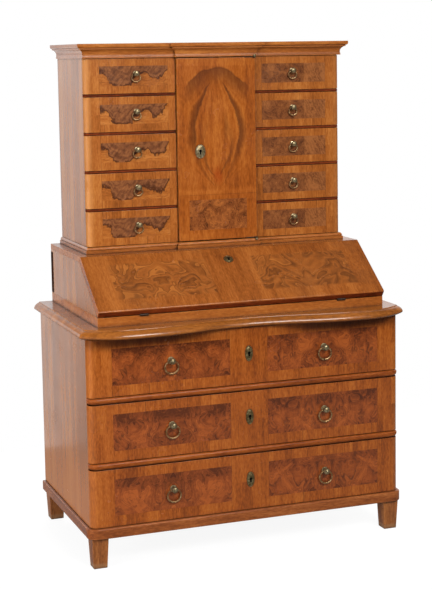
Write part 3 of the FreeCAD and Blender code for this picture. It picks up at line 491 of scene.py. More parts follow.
def large_veneer(half_height, end):
    """Burr panels in russet crossbanding, with a painted shadow of the top's lobes on the uppermost front."""
    skin = Surface("large_front_veneer")
    panel_v = (-half_height + LARGE_BORDERS[0], half_height - LARGE_BORDERS[1])
    colour, height = banded(skin, large_leaf, LARGE_BAND, RUSSET, LARGE_PANEL_X, panel_v, LARGE_END_WEAR_AND_HIGHLIGHT, end)
    u, v, _ = skin.layout.split()
    level = skin.place.split()[ALONG_Z] - v
    from_lobe = abs(abs(u) - LOBE_SHADOW_CENTRE)
    # Painted shadow under the top's lobes
    lobe_shadow = v.smooth(*LOBE_SHADOW_RISE) * level.smooth(*LOBE_SHADOW_LEVEL) * from_lobe.smooth(*LOBE_SHADOW_SPREAD)
    return aged(skin, lobe_shadow.blend(colour, SHADE_AND_GRIME), height)


# Lower edge of the dark heartwood in the left-hand leaves: across from the outer end, and up the panel
LEAF_EDGE = [(0.0, 0.72), (0.10, 0.58), (0.20, 0.02), (0.42, 0.0), (0.50, 0.38), (0.66, 0.60), (0.83, 0.33),
             (0.90, 0.50), (1.0, 0.95)]
# Paling of the small fronts' rounded ends, wear and painted highlight, strongest on the left-hand column
# whose ends face the light
LEFT_END_WEAR_AND_HIGHLIGHT = 0.62
RIGHT_END_WEAR_AND_HIGHLIGHT = 0.25
# Where the right-hand panels change from one leaf to the other
LEAF_JOINT = SMALL_PANEL_X[0] + 0.66 * (SMALL_PANEL_X[1] - SMALL_PANEL_X[0])


def heart_leaf(u, v, level):
    """Leaves cut in sequence from one log: dark heartwood over pale sapwood, the same on each drawer."""
    depth = level * 1.6
    figure = u.skin.join(u, depth, v)
    sway = figure.noise(24.0, 3, 0.6)
    wave = figure.noise(34.0, 3, 0.6)
    along = total(u, (sway, -0.05)).remap(SMALL_PANEL_X[1], SMALL_PANEL_X[0])
    above = total(v.remap(*SMALL_PANEL_V), along.drawn(LEAF_EDGE) * -1.0, (wave, 0.75))
    rings = (above * 17.0 + wave * 9.0).math("SINE")
    vein = u.skin.join(u + v * 0.7, depth, v * 0.3).noise(120.0, 4, 0.65)
    heart = total((figure.noise(60.0, 4), 0.55), (vein, 0.8), rings * 0.10, 0.5).ramp(HEARTWOOD)
    sap, _ = straight_wood(figure, ALONG_X, SAPWOOD)
    sap = (rings.smooth(0.55, 1.0) * 0.22).blend(sap, VEIN)
    leaf = above.smooth(-0.04, 0.04).blend(sap, heart)
    return (above.streak(0.02, 0.10) * 0.75).blend(leaf, VEIN)


def burr_leaf(u, v, level):
    """Close-figured burr in two leaves, the outer one paler and rippled."""
    figure = u.skin.join(u, level * 3.0, v)
    slant = total(u, v * 0.5, (figure.noise(40.0), 0.03))
    ripple = (slant * 520.0).math("SINE")
    lift = (u > LEAF_JOINT) * (ripple * 0.10 + 0.20)
    burr = burr_wood(figure, SMALL_BURR, size=0.034, swirl=0.040, lines=0.55, lift=lift)
    return (u.streak(LEAF_JOINT, SEAM) * 0.5).blend(burr, VEIN)


def small_veneer(name, leaf, end_wear_and_highlight, end):
    """A figured leaf in golden crossbanding."""
    skin = Surface(name)
    colour, height = banded(skin, leaf, SMALL_BAND, GOLDEN, SMALL_PANEL_X, SMALL_PANEL_V, end_wear_and_highlight, end)
    return aged(skin, colour, height)


ARCH_TOP = 1.637
ARCH_FALL = 5.0
OUTER_ALMOND = Sizes(low=1.215, height=0.385, half=0.083)
INNER_ALMOND = Sizes(low=1.252, height=0.250, half=0.052)
ALMOND_TIP = 0.004
TOP_BAND_Z = (1.640, 1.646)
LOW_BAND_Z = (1.066, 1.060)
BLUSH_Z = (1.262, 0.045)
SMEAR_Z = (1.425, 0.075)
SMEAR_X = (0.033, 0.014)


def almond(across, rise, form):
    """How far out a point lies in an almond, 1 on its line, and whether it lies within its height."""
    share = rise.remap(form.low, form.low + form.height)
    bulge = (share * pi).math("SINE").math("POWER", 0.8)
    width = most(bulge * form.half, ALMOND_TIP)
    return across / width, share.smooth(0.01, 0.06) * share.fade(0.90, 0.99)


def growth_ring(value, crisp, soft):
    """Shading of one growth ring: full at a value of 1, gone sharply before it and slowly after it."""
    return value.smooth(1.0 - crisp, 1.0) * value.fade(1.0, 1.0 + soft)


def door_veneer():
    """Crown-figured walnut: an arch over an almond of dark rings, above a panel of bold burr."""
    skin = Surface("door_veneer")
    x, _, z = skin.place.split()
    across = abs(total(x, (skin.place.noise(14.0, 4, 0.6), 0.034)))
    rise = total(z, (skin.place.noise(11.0, 3), 0.040))
    arch = total(rise, across * across * ARCH_FALL, -ARCH_TOP)
    under = arch.smooth(-0.090, 0.0) * arch.fade(0.0, 0.008)
    arch_line = most(under * 0.56, arch.streak(0.0, 0.008) * 0.66, arch.streak(-0.042, 0.007) * 0.34)
    limb = across.fade(0.090, 0.135)
    outer, outer_within = almond(across, rise, OUTER_ALMOND)
    outer_line = growth_ring(outer, 0.10, 0.42) * outer_within * z.smooth(1.27, 1.40, 0.35, 1.0)
    inner, inner_within = almond(across, rise, INNER_ALMOND)
    inner_line = growth_ring(inner, 0.16, 0.40) * inner_within * z.smooth(1.30, 1.46, 1.0, 0.25)
    heart = outer.fade(0.55, 1.0) * outer_within
    rings = (outer * 15.0).math("SINE") * outer.fade(0.9, 2.6) * outer_within
    over_joint = z.streak(DOOR_JOINT_Z + 0.010, 0.016)
    lift = total(heart * 0.01, rings * 0.08, z.smooth(*TOP_BAND_Z) * 0.10, over_joint * 0.14,
                 z.smooth(*LOW_BAND_Z) * 0.06)
    colour, height = straight_wood(skin.place, ALONG_Z, DOOR, lift)
    colour = most(arch_line * limb, outer_line * 0.66, inner_line * 0.46).blend(colour, VEIN)
    blush = z.streak(*BLUSH_Z) * across.fade(0.003, 0.022)
    colour = (blush * 0.45).blend(colour, BLUSH)
    smear = z.streak(*SMEAR_Z) * x.streak(*SMEAR_X)
    colour = (smear * 0.35).blend(colour, VEIN)
    side = abs(x)
    burr = burr_wood(skin.join(side, x * 0.28 + 0.42, z), DOOR_BURR, size=0.040, swirl=0.070, lines=0.9)
    mask = side.within((-DOOR_PANEL_X, DOOR_PANEL_X)) * z.within(DOOR_PANEL_Z)
    colour = mask.blend(colour, burr)
    return aged(skin, (z.streak(DOOR_JOINT_Z, SEAM) * 0.5).blend(colour, VEIN), height)


FALL_STRIP = (-0.086, 0.060)
FALL_END_SEAM = 0.455
FALL_SOFT = 0.006
FALL_WAX = {"coat": 0.12, "shine": 0.28}


def fall_veneer(length):
    """Two panels of pale loops in crossbanding, laid out along the slope."""
    skin = Surface("fall_veneer")
    u, v, _ = skin.layout.split()
    across = abs(u)
    flat = skin.join(u, 0.0, v)
    tone, pores = straight_tone(flat, ALONG_Z)
    low_band = v.fade(FALL_BORDERS[0] - 0.004, FALL_BORDERS[0])
    lift = u.within(FALL_STRIP, 0.002) * -0.02 + low_band * 0.03
    border = (pores * 0.3).blend((tone + lift).ramp(FALL_BAND), PORE)
    # the two halves of a panel come from neighbouring leaves, so they match only roughly
    figure = skin.join(abs(across - sum(FALL_PANEL_X) / 2), u * 0.12 + 1.7, v)
    # Darker towards the right of the fall: painted shade
    burr = burr_wood(figure, FALL_BURR, size=0.132, swirl=0.140, lines=0.80, vein=PALE_VEIN, nested=0.50,
                     lift=u.smooth(-0.10, 0.30, 0.0, -0.09))
    span = (FALL_BORDERS[0], length - FALL_BORDERS[1])
    mask = across.within(FALL_PANEL_X, FALL_SOFT) * v.within(span, FALL_SOFT)
    colour = (mask * 0.92).blend(border, burr)
    seam = most(across.streak(FALL_END_SEAM, SEAM), *[u.streak(edge, SEAM) for edge in FALL_STRIP])
    colour = (seam * 0.35).blend(colour, VEIN)
    stain = flat.noise(7.0, 3).smooth(0.52, 0.66, 0.0, 0.22)
    return aged(skin, stain.blend(colour, STAIN), tone, **FALL_WAX)


SCUFF = (0.010, 0.022, 0.55, 0.0)


def foot_wood():
    """Dark legs, scuffed pale round the bottom."""
    skin = Surface("walnut_feet")
    colour, height = straight_wood(skin.place, ALONG_Z, FOOT)
    ragged = total(skin.place.split()[ALONG_Z], (skin.place.noise(90.0, 4), 0.016))
    return aged(skin, ragged.smooth(*SCUFF).blend(colour, SCUFFED), height, rubbed=0.5)


# Stain and metals

def make_gap_shade():
    """Near-black matt wood, painted shade for the gaps at the desk's rear edges."""
    skin = Surface("painted_gap_shade")
    tone, _ = straight_tone(skin.place, ALONG_Z)
    skin.bump(tone, 0.2, 0.0005)
    return skin.finish(tone.ramp(GAP_SHADE_TONES), tone.remap(0.2, 0.8, 0.75, 0.9), Specular_IOR_Level=0.08)


def make_brass(name, dull, middling, bright):
    """Old brass in dull and bright patches, dirty in its corners."""
    skin = Surface(name)
    patina = skin.place.noise(150.0, 4, 0.6)
    colour = patina.remap(0.3, 0.7).ramp([(0.0, srgb(dull)), (0.5, srgb(middling)), (1.0, srgb(bright))])
    dirt = skin.shelter(0.005).smooth(0.35, 0.95, 0.88, 0.0)
    skin.bump(skin.place.noise(420.0, 3), 0.2)
    return skin.finish(dirt.blend(colour, TARNISH), patina.remap(0.3, 0.7, 0.48, 0.34), Metallic=0.82)


def speckled(name, grain, detail, dark_shade, light_shade, rough, relief=0.0, **constants):
    """Something dark, speckled between two shades."""
    skin = Surface(name)
    speck = skin.place.noise(grain, detail)
    if relief:
        skin.bump(speck, relief)
    colour = speck.ramp([(0.0, srgb(dark_shade)), (1.0, srgb(light_shade))])
    return skin.finish(colour, speck.remap(0.3, 0.7, *rough), **constants)


golden_level = case_wood("walnut_golden_level", ALONG_X, GOLDEN)
russet_upright = case_wood("walnut_russet_upright", ALONG_Z, RUSSET)
russet_level = case_wood("walnut_russet_level", ALONG_X, RUSSET)
russet_deep = case_wood("walnut_russet_deep", ALONG_Y, RUSSET)
faded_sides = side_wood()
trim_level = case_wood("walnut_trim_level", ALONG_X, GOLDEN, **DULL)
trim_deep = case_wood("walnut_trim_deep", ALONG_Y, GOLDEN, **POLISHED)
# The top and the beads: painted shade on their downward faces, and their paler arrises partly a painted
# highlight
top_wood = case_wood("walnut_top", ALONG_X, FADED, -0.07, rubbed=0.5, under=0.5, coat=0.3)
red_level = case_wood("walnut_red_level", ALONG_X, RED, 0.06, grime=0.65, rubbed=0.55, under=0.6, **DULL)
plinth_level = case_wood("walnut_plinth_level", ALONG_X, PLINTH, grime=0.5, rubbed=0.4, **DULL)
plinth_deep = case_wood("walnut_plinth_deep", ALONG_Y, PLINTH, grime=0.5, rubbed=0.4)
# Dark edges and dividers, partly painted shade in the gaps between parts
edge_and_shade_wood = case_wood("walnut_edges_and_shade", ALONG_X, EDGE_AND_SHADE, -0.08, rubbed=0.1, **MATT)
door_edges = case_wood("walnut_door_edges", ALONG_Z, GOLDEN, grime=0.35)
pine_upright = case_wood("pine_upright", ALONG_Z, PINE, **BARE)
pine_level = case_wood("pine_level", ALONG_X, PINE, **BARE)
pine = case_wood("pine_deep", ALONG_Y, PINE, **BARE)
back_planks = plank_wood()
brass = make_brass("aged_brass", 0x5C4C32, 0x968460, 0xC4B692)
plate_brass = make_brass("dull_brass", 0x4C3F26, 0x7C6B46, 0xA89970)
ring_brass = make_brass("tarnished_brass", 0x5C4228, 0xA68054, 0xDCBA88)
iron = speckled("blackened_iron", 220.0, 4, 0x1A1411, 0x544236, (0.4, 0.6), 0.3, Metallic=0.7)
# Near-black for the painted shade inside the keyholes
dark = speckled("keyhole_painted_shade", 300.0, 3, 0x050403, 0x100C0A, (0.7, 0.9), Specular_IOR_Level=0.05)
gap_shade = make_gap_shade()


# Meshes

# Widths of the rounding along arrises
KEEN_ARRIS = 0.0003
FINE_ARRIS = 0.0006
PLAIN_ARRIS = 0.0008
SMALL_FRONT_ARRIS = 0.0009
BROAD_ARRIS = 0.001
BOLD_ARRIS = 0.0012
LOCK_ARRIS = 0.0015
DOOR_ARRIS = 0.0016
PLINTH_ARRIS = 0.003
CREASE = 35.0
ARRIS_ANGLE = radians(40)
# A face looks along an axis when its normal goes at least this far along it
FACING = 0.7
FULL_TURN = 2 * pi


def soften(piece, width, segments=2):
    """Round the arrises of a piece a little."""
    bevel = piece.modifiers.new("arris", "BEVEL")
    bevel.width = width
    bevel.segments = segments
    bevel.limit_method = "ANGLE"
    bevel.angle_limit = ARRIS_ANGLE
    bevel.harden_normals = True


def add_piece(name, mesh, materials, body, slot, replaced=(), arris=0.0, segments=2, crease=CREASE):
    """Show a mesh as a piece that rides on a body and stands for CAD nodes."""
    mesh.polygons.foreach_set("use_smooth", [True] * len(mesh.polygons))
    mesh.set_sharp_from_angle(angle=radians(crease))
    for material in materials:
        mesh.materials.append(material)
    piece = bpy.data.objects.new(name, mesh)
    bpy.context.collection.objects.link(piece)
    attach(piece, body)
    if replaced:
        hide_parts(*replaced)
    if arris:
        soften(piece, arris, segments)


def paint(mesh, choose):
    """Give each face the index of its material, chosen from its normal."""
    for face in mesh.polygons:
        face.material_index = choose(face.normal)


def loops_mesh(name, loops, closed=False):
    """A skin over a stack of loops with equally many points, capped at both ends or closed to a ring."""
    mesh = bpy.data.meshes.new(name)
    count = len(loops[0])
    rows = len(loops)
    faces = []
    for row in range(rows if closed else rows - 1):
        low, high = row * count, (row + 1) % rows * count
        for index in range(count):
            following = (index + 1) % count
            faces.append((low + index, low + following, high + following, high + index))
    if not closed:
        faces.append(tuple(reversed(range(count))))
        faces.append(tuple(range((rows - 1) * count, rows * count)))
    mesh.from_pydata([tuple(point) for loop in loops for point in loop], [], faces)
    build = bmesh.new()
    build.from_mesh(mesh)
    bmesh.ops.remove_doubles(build, verts=build.verts, dist=1e-6)
    bmesh.ops.recalc_face_normals(build, faces=build.faces)
    build.to_mesh(mesh)
    build.free()
    return mesh


def arc(centre, radius, start, end, steps):
    """Points on a circle between two angles in degrees, both ends included."""
    points = []
    for step in range(steps + 1):
        angle = radians(start + (end - start) * step / steps)
        points.append((centre[0] + radius * cos(angle), centre[1] + radius * sin(angle)))
    return points


def upright_mesh(name, plan, heights):
    """A plan of (x, y) points raised from one height to another."""
    return loops_mesh(name, [[(x, y, z) for x, y in plan] for z in heights])


def boards_mesh(name, boxes):
    """Separate square boards in one mesh, each a pair of corners."""
    build = bmesh.new()
    for low, high in boxes:
        made = bmesh.ops.create_cube(build, size=1.0)
        size = Vector(high) - Vector(low)
        middle = (Vector(high) + Vector(low)) / 2
        place = Matrix.Translation(middle) @ Matrix.Diagonal((*size, 1))
        bmesh.ops.transform(build, verts=made["verts"], matrix=place)
    mesh = bpy.data.meshes.new(name)
    build.to_mesh(mesh)
    build.free()
    return mesh


def add_boards(name, boxes, material, body="carcase", slot="case_wood", **more):
    add_piece(name, boards_mesh(name, boxes), [material], body, slot, **more)


def lay_out(mesh, place):
    """Give each corner of the mesh its place in the layout, in metres."""
    layer = mesh.uv_layers.new(name="layout")
    for loop in mesh.loops:
        layer.data[loop.index].uv = place(mesh.vertices[loop.vertex_index].co)


def lathe_mesh(name, profile, centre, steps=40):
    """A form turned about a line along -Y: profile is (radius, distance out from the face)."""
    angles = [FULL_TURN * step / steps for step in range(steps)]
    x, y, z = centre
    return loops_mesh(name, [[(x + radius * cos(angle), y - out, z + radius * sin(angle))
                              for angle in angles] for radius, out in profile])


# Brass fittings

POINT = 0.0004
RING_STEPS = 56
WIRE_STEPS = 14


def knob_profile(pull, grip):
    """A turned knob: shank, flange, waisted neck, and an egg-shaped head with a small button."""
    flange, neck, knob, reach = pull.flange, pull.neck, pull.knob, pull.reach
    room = pull.ring - pull.wire - RING_ROOM
    neck_end, rim = (pull.out + pull.ring - sqrt(room ** 2 - radius ** 2) for radius in (neck, knob))
    head = reach - rim
    points = [(pull.shank, -grip), (pull.shank, 0.0), (flange, 0.0), (flange * 0.98, 0.0009),
              (flange * 0.86, 0.0014), (neck, 0.0016), (neck * 0.92, pull.out * 0.5), (neck, neck_end),
              (knob * 0.93, rim)]
    for tilt in range(0, 80, 12):
        angle = radians(tilt)
        points.append((knob * cos(angle) ** 0.8, rim + head * (0.12 + 0.80 * sin(angle))))
    button = knob * 0.22
    points += [(button, rim + head * share) for share in (0.92, 0.96)]
    return points + [(button * 0.7, reach), (POINT, reach)]


def add_knob(name, pull, centre, grip, body):
    add_piece(name, lathe_mesh(name, knob_profile(pull, grip), centre), [brass], body, "brass")


def add_ring(node, pull):
    """A cast ring, thicker at the bottom, that hangs in its knob."""
    low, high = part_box(node)
    middle = (low + high) / 2
    middle.z = high.z - pull.wire - pull.ring
    loops = []
    for step in range(RING_STEPS):
        turn = FULL_TURN * step / RING_STEPS
        wire = pull.wire * (0.94 + 0.24 * max(0.0, -sin(turn)) ** 2)
        loop = []
        for point in range(WIRE_STEPS):
            angle = FULL_TURN * point / WIRE_STEPS
            out = wire * cos(angle)
            loop.append((middle.x + (pull.wide + out) * cos(turn), middle.y + wire * sin(angle),
                         middle.z + (pull.ring + out) * sin(turn)))
        loops.append(loop)
    add_piece(f"{node}_brass", loops_mesh(node, loops, closed=True), [ring_brass], node, "brass", [node])


# Key plates: half width and half height
DRAWER_PLATE = (0.0137, 0.0264)
DOOR_PLATE = (0.0180, 0.0242)
FALL_PLATE = (0.0163, 0.0163)
# Domed section of a key plate: share of its half width, and distance out
PLATE_DOME = [(1.0, 0.0), (1.005, 0.0012), (0.975, 0.0022), (0.91, 0.0024), (0.87, 0.0021), (0.80, 0.0027),
              (0.62, 0.0036), (0.46, 0.0041)]
PLATE_STEPS = 72
KEY_RADIUS = 0.0052
KEY_SLOT = 0.0031
KEY_DROP = 0.0125
KEY_RISE = 0.0022
KEY_LIP = 0.0012
KEY_DEPTHS = (0.0042, 0.0036, 0.0)
# A near-black disc behind a keyhole, painted shade for the hole's inside, as (radius, out), and how far its
# middle lies below the key's
KEYHOLE_SHADE_DISC = [(0.0118, 0.0), (0.0118, 0.0009), (POINT, 0.0010)]
KEYHOLE_SHADE_DROP = 0.0035
LOCK = Sizes(half_wide=0.035, half_high=0.0275, deep=0.013)


def key_outline(angle):
    """Distance from the middle of a keyhole to its edge, in a direction."""
    down = -sin(angle)
    if down <= 0:
        return KEY_RADIUS
    reach = KEY_DROP / down
    sideways = abs(cos(angle))
    if sideways > 1e-6:
        reach = min(reach, KEY_SLOT / sideways)
    return max(KEY_RADIUS, reach)


def escutcheon_mesh(name, half_wide, half_high):
    """A domed key plate in the XZ plane with a beaded rim and a keyhole, its face towards -Y."""
    angles = [FULL_TURN * step / PLATE_STEPS for step in range(PLATE_STEPS)]
    loops = []
    for share, out in PLATE_DOME:
        loop = []
        for angle in angles:
            x = half_wide * share * cos(angle)
            z = half_high * share * sin(angle) - KEY_RISE * share
            grow = max(1.0, (key_outline(angle) + KEY_LIP) / hypot(x, z))
            loop.append((x * grow, -out, z * grow + KEY_RISE))
        loops.append(loop)
    for out in KEY_DEPTHS:
        loops.append([(key_outline(angle) * cos(angle), -out, key_outline(angle) * sin(angle) + KEY_RISE)
                      for angle in angles])
    return loops_mesh(name, loops, closed=True)


def add_escutcheon(name, half_size, place, body, metal, replaced=()):
    """A key plate put in place by a matrix, with a near-black disc behind the keyhole as painted shade."""
    plate = escutcheon_mesh(name, *half_size)
    plate.transform(place)
    add_piece(name, plate, [metal], body, "brass", replaced)
    keyhole_shade_mesh = lathe_mesh(f"{name}_keyhole_shade", KEYHOLE_SHADE_DISC, (0, 0, KEY_RISE - KEYHOLE_SHADE_DROP), 32)
    keyhole_shade_mesh.transform(place)
    add_piece(f"{name}_keyhole_shade", keyhole_shade_mesh, [dark], body, "brass")


def add_lock(name, x, y, z, body):
    """A plain lock case behind a keyhole."""
    wide, high = LOCK.half_wide, LOCK.half_high
    box = ((x - wide, y, z - high), (x + wide, y + LOCK.deep, z + high))
    add_boards(name, [box], iron, body, "brass", arris=LOCK_ARRIS, segments=3)


# Commode

case_low, case_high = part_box("commode_sides")
joint_y = case_low.y
half_case = case_high.x
front_low, front_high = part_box("upper_drawer_front")
face_y = front_low.y
top_low, top_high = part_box("commode_top")
half_top = top_high.x
back_y = top_high.y
HOLLOW_OUT = 0.017
LOBE_INSET = 0.1945
LOBE_HALF = 0.200
CORNER_RADIUS = 0.230
CORNER_SETBACK = 0.008
NOSE_RISE = 0.010
NOSE_SLOPE = 1.3
NOSE_UNDER = 0.020
FIELD_INSET = 0.0185
FIELD_STEP = 0.003
FRONT_ROUND = 0.024
BEAD = Sizes(high=0.022, proud=0.0015, round=0.030, under=0.0130, over=0.0075)
RAIL_INSET = 0.022
PLINTH_ROUND = 0.033
PLINTH_FOOT = 0.0012
PLINTH_HEAD = 0.004


def serpentine(inset):
    """Outline of the commode top taken in by inset, from the left rear corner round the front."""
    hollow_y = face_y - HOLLOW_OUT
    lobe_y = top_low.y
    lobe_x = half_top - LOBE_INSET
    depth = hollow_y - lobe_y
    spread = (lobe_x ** 2 + depth ** 2) / (2 * depth)
    lobe_radius = spread * LOBE_HALF / lobe_x
    hollow_radius = spread - lobe_radius
    lobe = Vector((lobe_x, lobe_y + lobe_radius))
    # the last arc passes through the corner, and touches the lobe's circle from inside
    toward = Vector((half_top, face_y + CORNER_SETBACK)) - lobe
    reach = lobe_radius - CORNER_RADIUS
    along = (reach ** 2 - CORNER_RADIUS ** 2 + toward.length_squared) / (2 * toward.length)
    aside = sqrt(reach ** 2 - along ** 2)
    toward.normalize()
    corner = lobe + toward * along + Vector((toward.y, -toward.x)) * aside
    turn = degrees(atan2(corner.y - lobe.y, corner.x - lobe.x))
    bend = degrees(atan2(hollow_y - hollow_radius - lobe.y, -lobe_x))
    end = -degrees(acos((half_top - inset - corner.x) / (CORNER_RADIUS - inset)))
    right = arc((0.0, hollow_y - hollow_radius), hollow_radius + inset, 90, bend + 180, 10)
    right += arc(lobe, lobe_radius - inset, bend, turn, 24)[1:]
    right += arc(corner, CORNER_RADIUS - inset, turn, end, 14)[1:]
    right.append((half_top - inset, back_y))
    left = [(-x, y) for x, y in reversed(right)]
    return left + right[1:]


def add_stack(name, outline, profile, material, replaced=()):
    """A part of the carcase whose outlines are stacked up a profile of (inset, height)."""
    loops = [[(x, y, height) for x, y in outline(inset)] for inset, height in profile]
    add_piece(name, loops_mesh(name, loops), [material], "carcase", "case_wood", replaced)


def quarter(inset, low, radius, upward, steps=7, height=None, power=1.0):
    """A rounded arris of a profile, from foot to head; height makes it oval, and power flattens it."""
    height = height or radius
    points = []
    for step in range(steps + 1):
        angle = pi / 2 * step / steps
        if upward:
            points.append((inset + radius * (1 - cos(angle) ** power), low + height * sin(angle) ** power))
        else:
            points.append((inset + radius * (1 - sin(angle)), low + height * (1 - cos(angle))))
    return points


def add_commode_top():
    ledge = top_high.z - FIELD_STEP
    tip = top_low.z + NOSE_RISE
    profile = quarter(0.0, top_low.z, NOSE_UNDER, False, 9, NOSE_RISE)
    profile += quarter(0.0, tip, FIELD_INSET, True, 12, ledge - tip, NOSE_SLOPE)[1:]
    profile += [(FIELD_INSET + 0.0003, top_high.z - 0.0012), (FIELD_INSET + 0.0014, top_high.z)]
    add_stack("commode_top_board", serpentine, profile, top_wood, ["commode_top"])


def rounded_plan(half, front, rear, radius):
    """A plan outline with rounded front corners, as a function of the inset."""
    def outline(inset):
        round_now = max(radius - inset, 0.001)
        x, y = half - inset, front + inset
        right = arc((x - round_now, y + round_now), round_now, 270, 360, 10) + [(x, rear)]
        return [(-px, py) for px, py in reversed(right)] + right

    return outline


def add_rails():
    low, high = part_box("drawer_rails")
    outline = rounded_plan(half_case + BEAD.proud, low.y, joint_y, BEAD.round)
    rear = []
    for name, bottom, top in (("lower", low.z, low.z + BEAD.high), ("upper", high.z - BEAD.high, high.z)):
        profile = quarter(0.0, bottom, BEAD.under, False)
        profile += quarter(0.0, top - BEAD.over, BEAD.over, True)
        add_stack(f"{name}_bead", outline, profile, red_level)
        rear.append(((low.x + RAIL_INSET, joint_y, bottom), (-low.x - RAIL_INSET, high.y, top)))
    add_boards("rail_boards", rear, red_level, replaced=["drawer_rails"], arris=PLAIN_ARRIS)


def add_plinth():
    low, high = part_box("plinth")
    outline = rounded_plan(high.x, low.y, joint_y, PLINTH_ROUND)
    profile = [(PLINTH_FOOT, low.z), (0.0, low.z + PLINTH_FOOT)]
    profile += quarter(0.0, high.z - PLINTH_HEAD, PLINTH_HEAD, True, 4)
    add_stack("plinth_front", outline, profile, plinth_level)
    bands = []
    for _, sign in SIDES:
        left, right = sorted((sign * half_case, sign * high.x))
        bands.append(((left, joint_y, low.z), (right, high.y, high.z)))
    add_boards("plinth_sides", bands, plinth_deep, replaced=["plinth"], arris=PLINTH_ARRIS, segments=3)


def front_mesh(name, low, high, radius, rounded, mirror):
    """A drawer front whose listed ends are rounded, laid out from its middle height and the case's middle.

    Its faces take the veneer, the dark edges that are partly painted shade in the gaps, or the bare back.
    """
    (left, front, bottom), (right, rear, top) = low, high
    plan = []
    for x, sign in ((left, -1), (right, 1)):
        end = [(x, rear)]
        if sign in rounded:
            end += arc((x - sign * radius, front + radius), radius, 180 if sign < 0 else 360, 270, 10)
        else:
            end.append((x, front))
        plan += end if sign < 0 else reversed(end)
    mesh = upright_mesh(name, plan, (bottom, top))
    middle = (bottom + top) / 2
    lay_out(mesh, lambda co: (co.x * mirror, co.z - middle))
    paint(mesh, lambda normal: 1 if abs(normal.z) > FACING else 2 if normal.y > FACING else 0)
    return mesh


large_front_veneer = large_veneer((front_high.z - front_low.z) / 2, half_case)


def add_large_drawer(level):
    body = f"{level}_drawer"
    low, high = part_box(f"{level}_drawer_front")
    mesh = front_mesh(f"{level}_front", low, high, FRONT_ROUND, (-1, 1), 1)
    woods = [large_front_veneer, edge_and_shade_wood, pine]
    add_piece(f"{level}_front", mesh, woods, body, "front_veneer", [f"{level}_drawer_front"], BROAD_ARRIS)
    pull_z = (low.z + high.z) / 2 + LARGE_PULL.rise
    for side, sign in SIDES:
        centre = (sign * LARGE_PULL.x, low.y, pull_z)
        add_knob(f"{level}_knob_{side}", LARGE_PULL, centre, high.y - low.y, body)
        add_ring(f"{level}_ring_{side}", LARGE_PULL)
    place = Matrix.Translation((0, low.y, pull_z))
    add_escutcheon(f"{level}_key_plate", DRAWER_PLATE, place, body, plate_brass, [f"{level}_drawer_fittings"])
    add_lock(f"{level}_lock", 0.0, high.y, pull_z, body)


# Cabinet

SMALL_FRONT = 0.0186
SMALL_ROUND = 0.017
SMALL_BOX = Sizes(inner=0.15525, outer=0.453, wall=0.009, rear=0.008, floor=0.006, groove=0.005, high=0.100)
CAB_FRONT = 0.019
DOOR_GAP = 0.00125
cab_low, cab_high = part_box("cabinet_sides")
cab_face_y = cab_low.y - CAB_FRONT
door_low, door_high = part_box("door_panel")
small_veneers = {-1: small_veneer("left_front_veneer", heart_leaf, LEFT_END_WEAR_AND_HIGHLIGHT, cab_high.x),
                 1: small_veneer("right_front_veneer", burr_leaf, RIGHT_END_WEAR_AND_HIGHLIGHT, cab_high.x)}


def add_small_drawer(side, sign, row):
    node = f"small_drawer_{side}_{row}"
    low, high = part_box(node)
    bottom = high.z - SMALL_HEIGHT
    front, back = cab_face_y + SMALL_FRONT, high.y
    corners = (low.x, cab_face_y, bottom), (high.x, front, high.z)
    mesh = front_mesh(f"{node}_front", *corners, SMALL_ROUND, (sign,), sign)
    woods = [small_veneers[sign], edge_and_shade_wood, pine]
    add_piece(f"{node}_front", mesh, woods, node, "front_veneer", [node], SMALL_FRONT_ARRIS)
    left, right = sorted((sign * SMALL_BOX.inner, sign * SMALL_BOX.outer))
    wall, rear = SMALL_BOX.wall, back - SMALL_BOX.rear
    box_low, box_high = low.z, low.z + SMALL_BOX.high
    floor = box_low + SMALL_BOX.groove
    boxes = [((left, front, box_low), (left + wall, back, box_high)),
             ((right - wall, front, box_low), (right, back, box_high)),
             ((left + wall, rear, box_low), (right - wall, back, box_high)),
             ((left + wall, front, floor), (right - wall, rear, floor + SMALL_BOX.floor))]
    add_boards(f"{node}_box", boxes, pine, node, "inner_wood", arris=FINE_ARRIS)
    centre = (sign * SMALL_PULL.x, cab_face_y, (bottom + high.z) / 2 + SMALL_PULL.rise)
    add_knob(f"{node}_knob", SMALL_PULL, centre, SMALL_FRONT, node)
    add_ring(f"small_ring_{side}_{row}", SMALL_PULL)


def curve(start, end, bulge, steps=8):
    """A shallow arc between two profile points; bulge is its rise to the left, as a share of its length."""
    (x0, y0), (x1, y1) = start, end
    points = []
    for step in range(steps + 1):
        t = step / steps
        lift = 4 * bulge * t * (1 - t)
        points.append((x0 + (x1 - x0) * t - (y1 - y0) * lift, y0 + (y1 - y0) * t + (x1 - x0) * lift))
    return points


# Sections of the mouldings, as (out, up)
CORNICE = [(0.0, 0.0), (0.005, 0.0), *curve((0.005, 0.004), (0.015, 0.030), 0.20), (0.019, 0.030),
           *curve((0.019, 0.035), (0.026, 0.0405), -0.21), (0.026, 0.0480), (0.0250, 0.0490), (0.0, 0.0490)]
CABINET_BASE = [(0.0, 0.0), (0.0084, 0.0), (0.009, 0.0006), (0.009, 0.0109), (0.0084, 0.0115),
                *curve((0.0055, 0.0115), (0.0015, 0.023), -0.20), (0.0, 0.023)]
MITRE_CREASE = 30.0


def moulding_path():
    """Plan of the cabinet's sides and stepped front, from the left rear corner to the right one."""
    half = cab_high.x
    step = door_high.x + DOOR_GAP
    right = [(half, back_y), (half, cab_face_y), (step, cab_face_y), (step, door_low.y)]
    return [(-x, y) for x, y in right] + list(reversed(right))


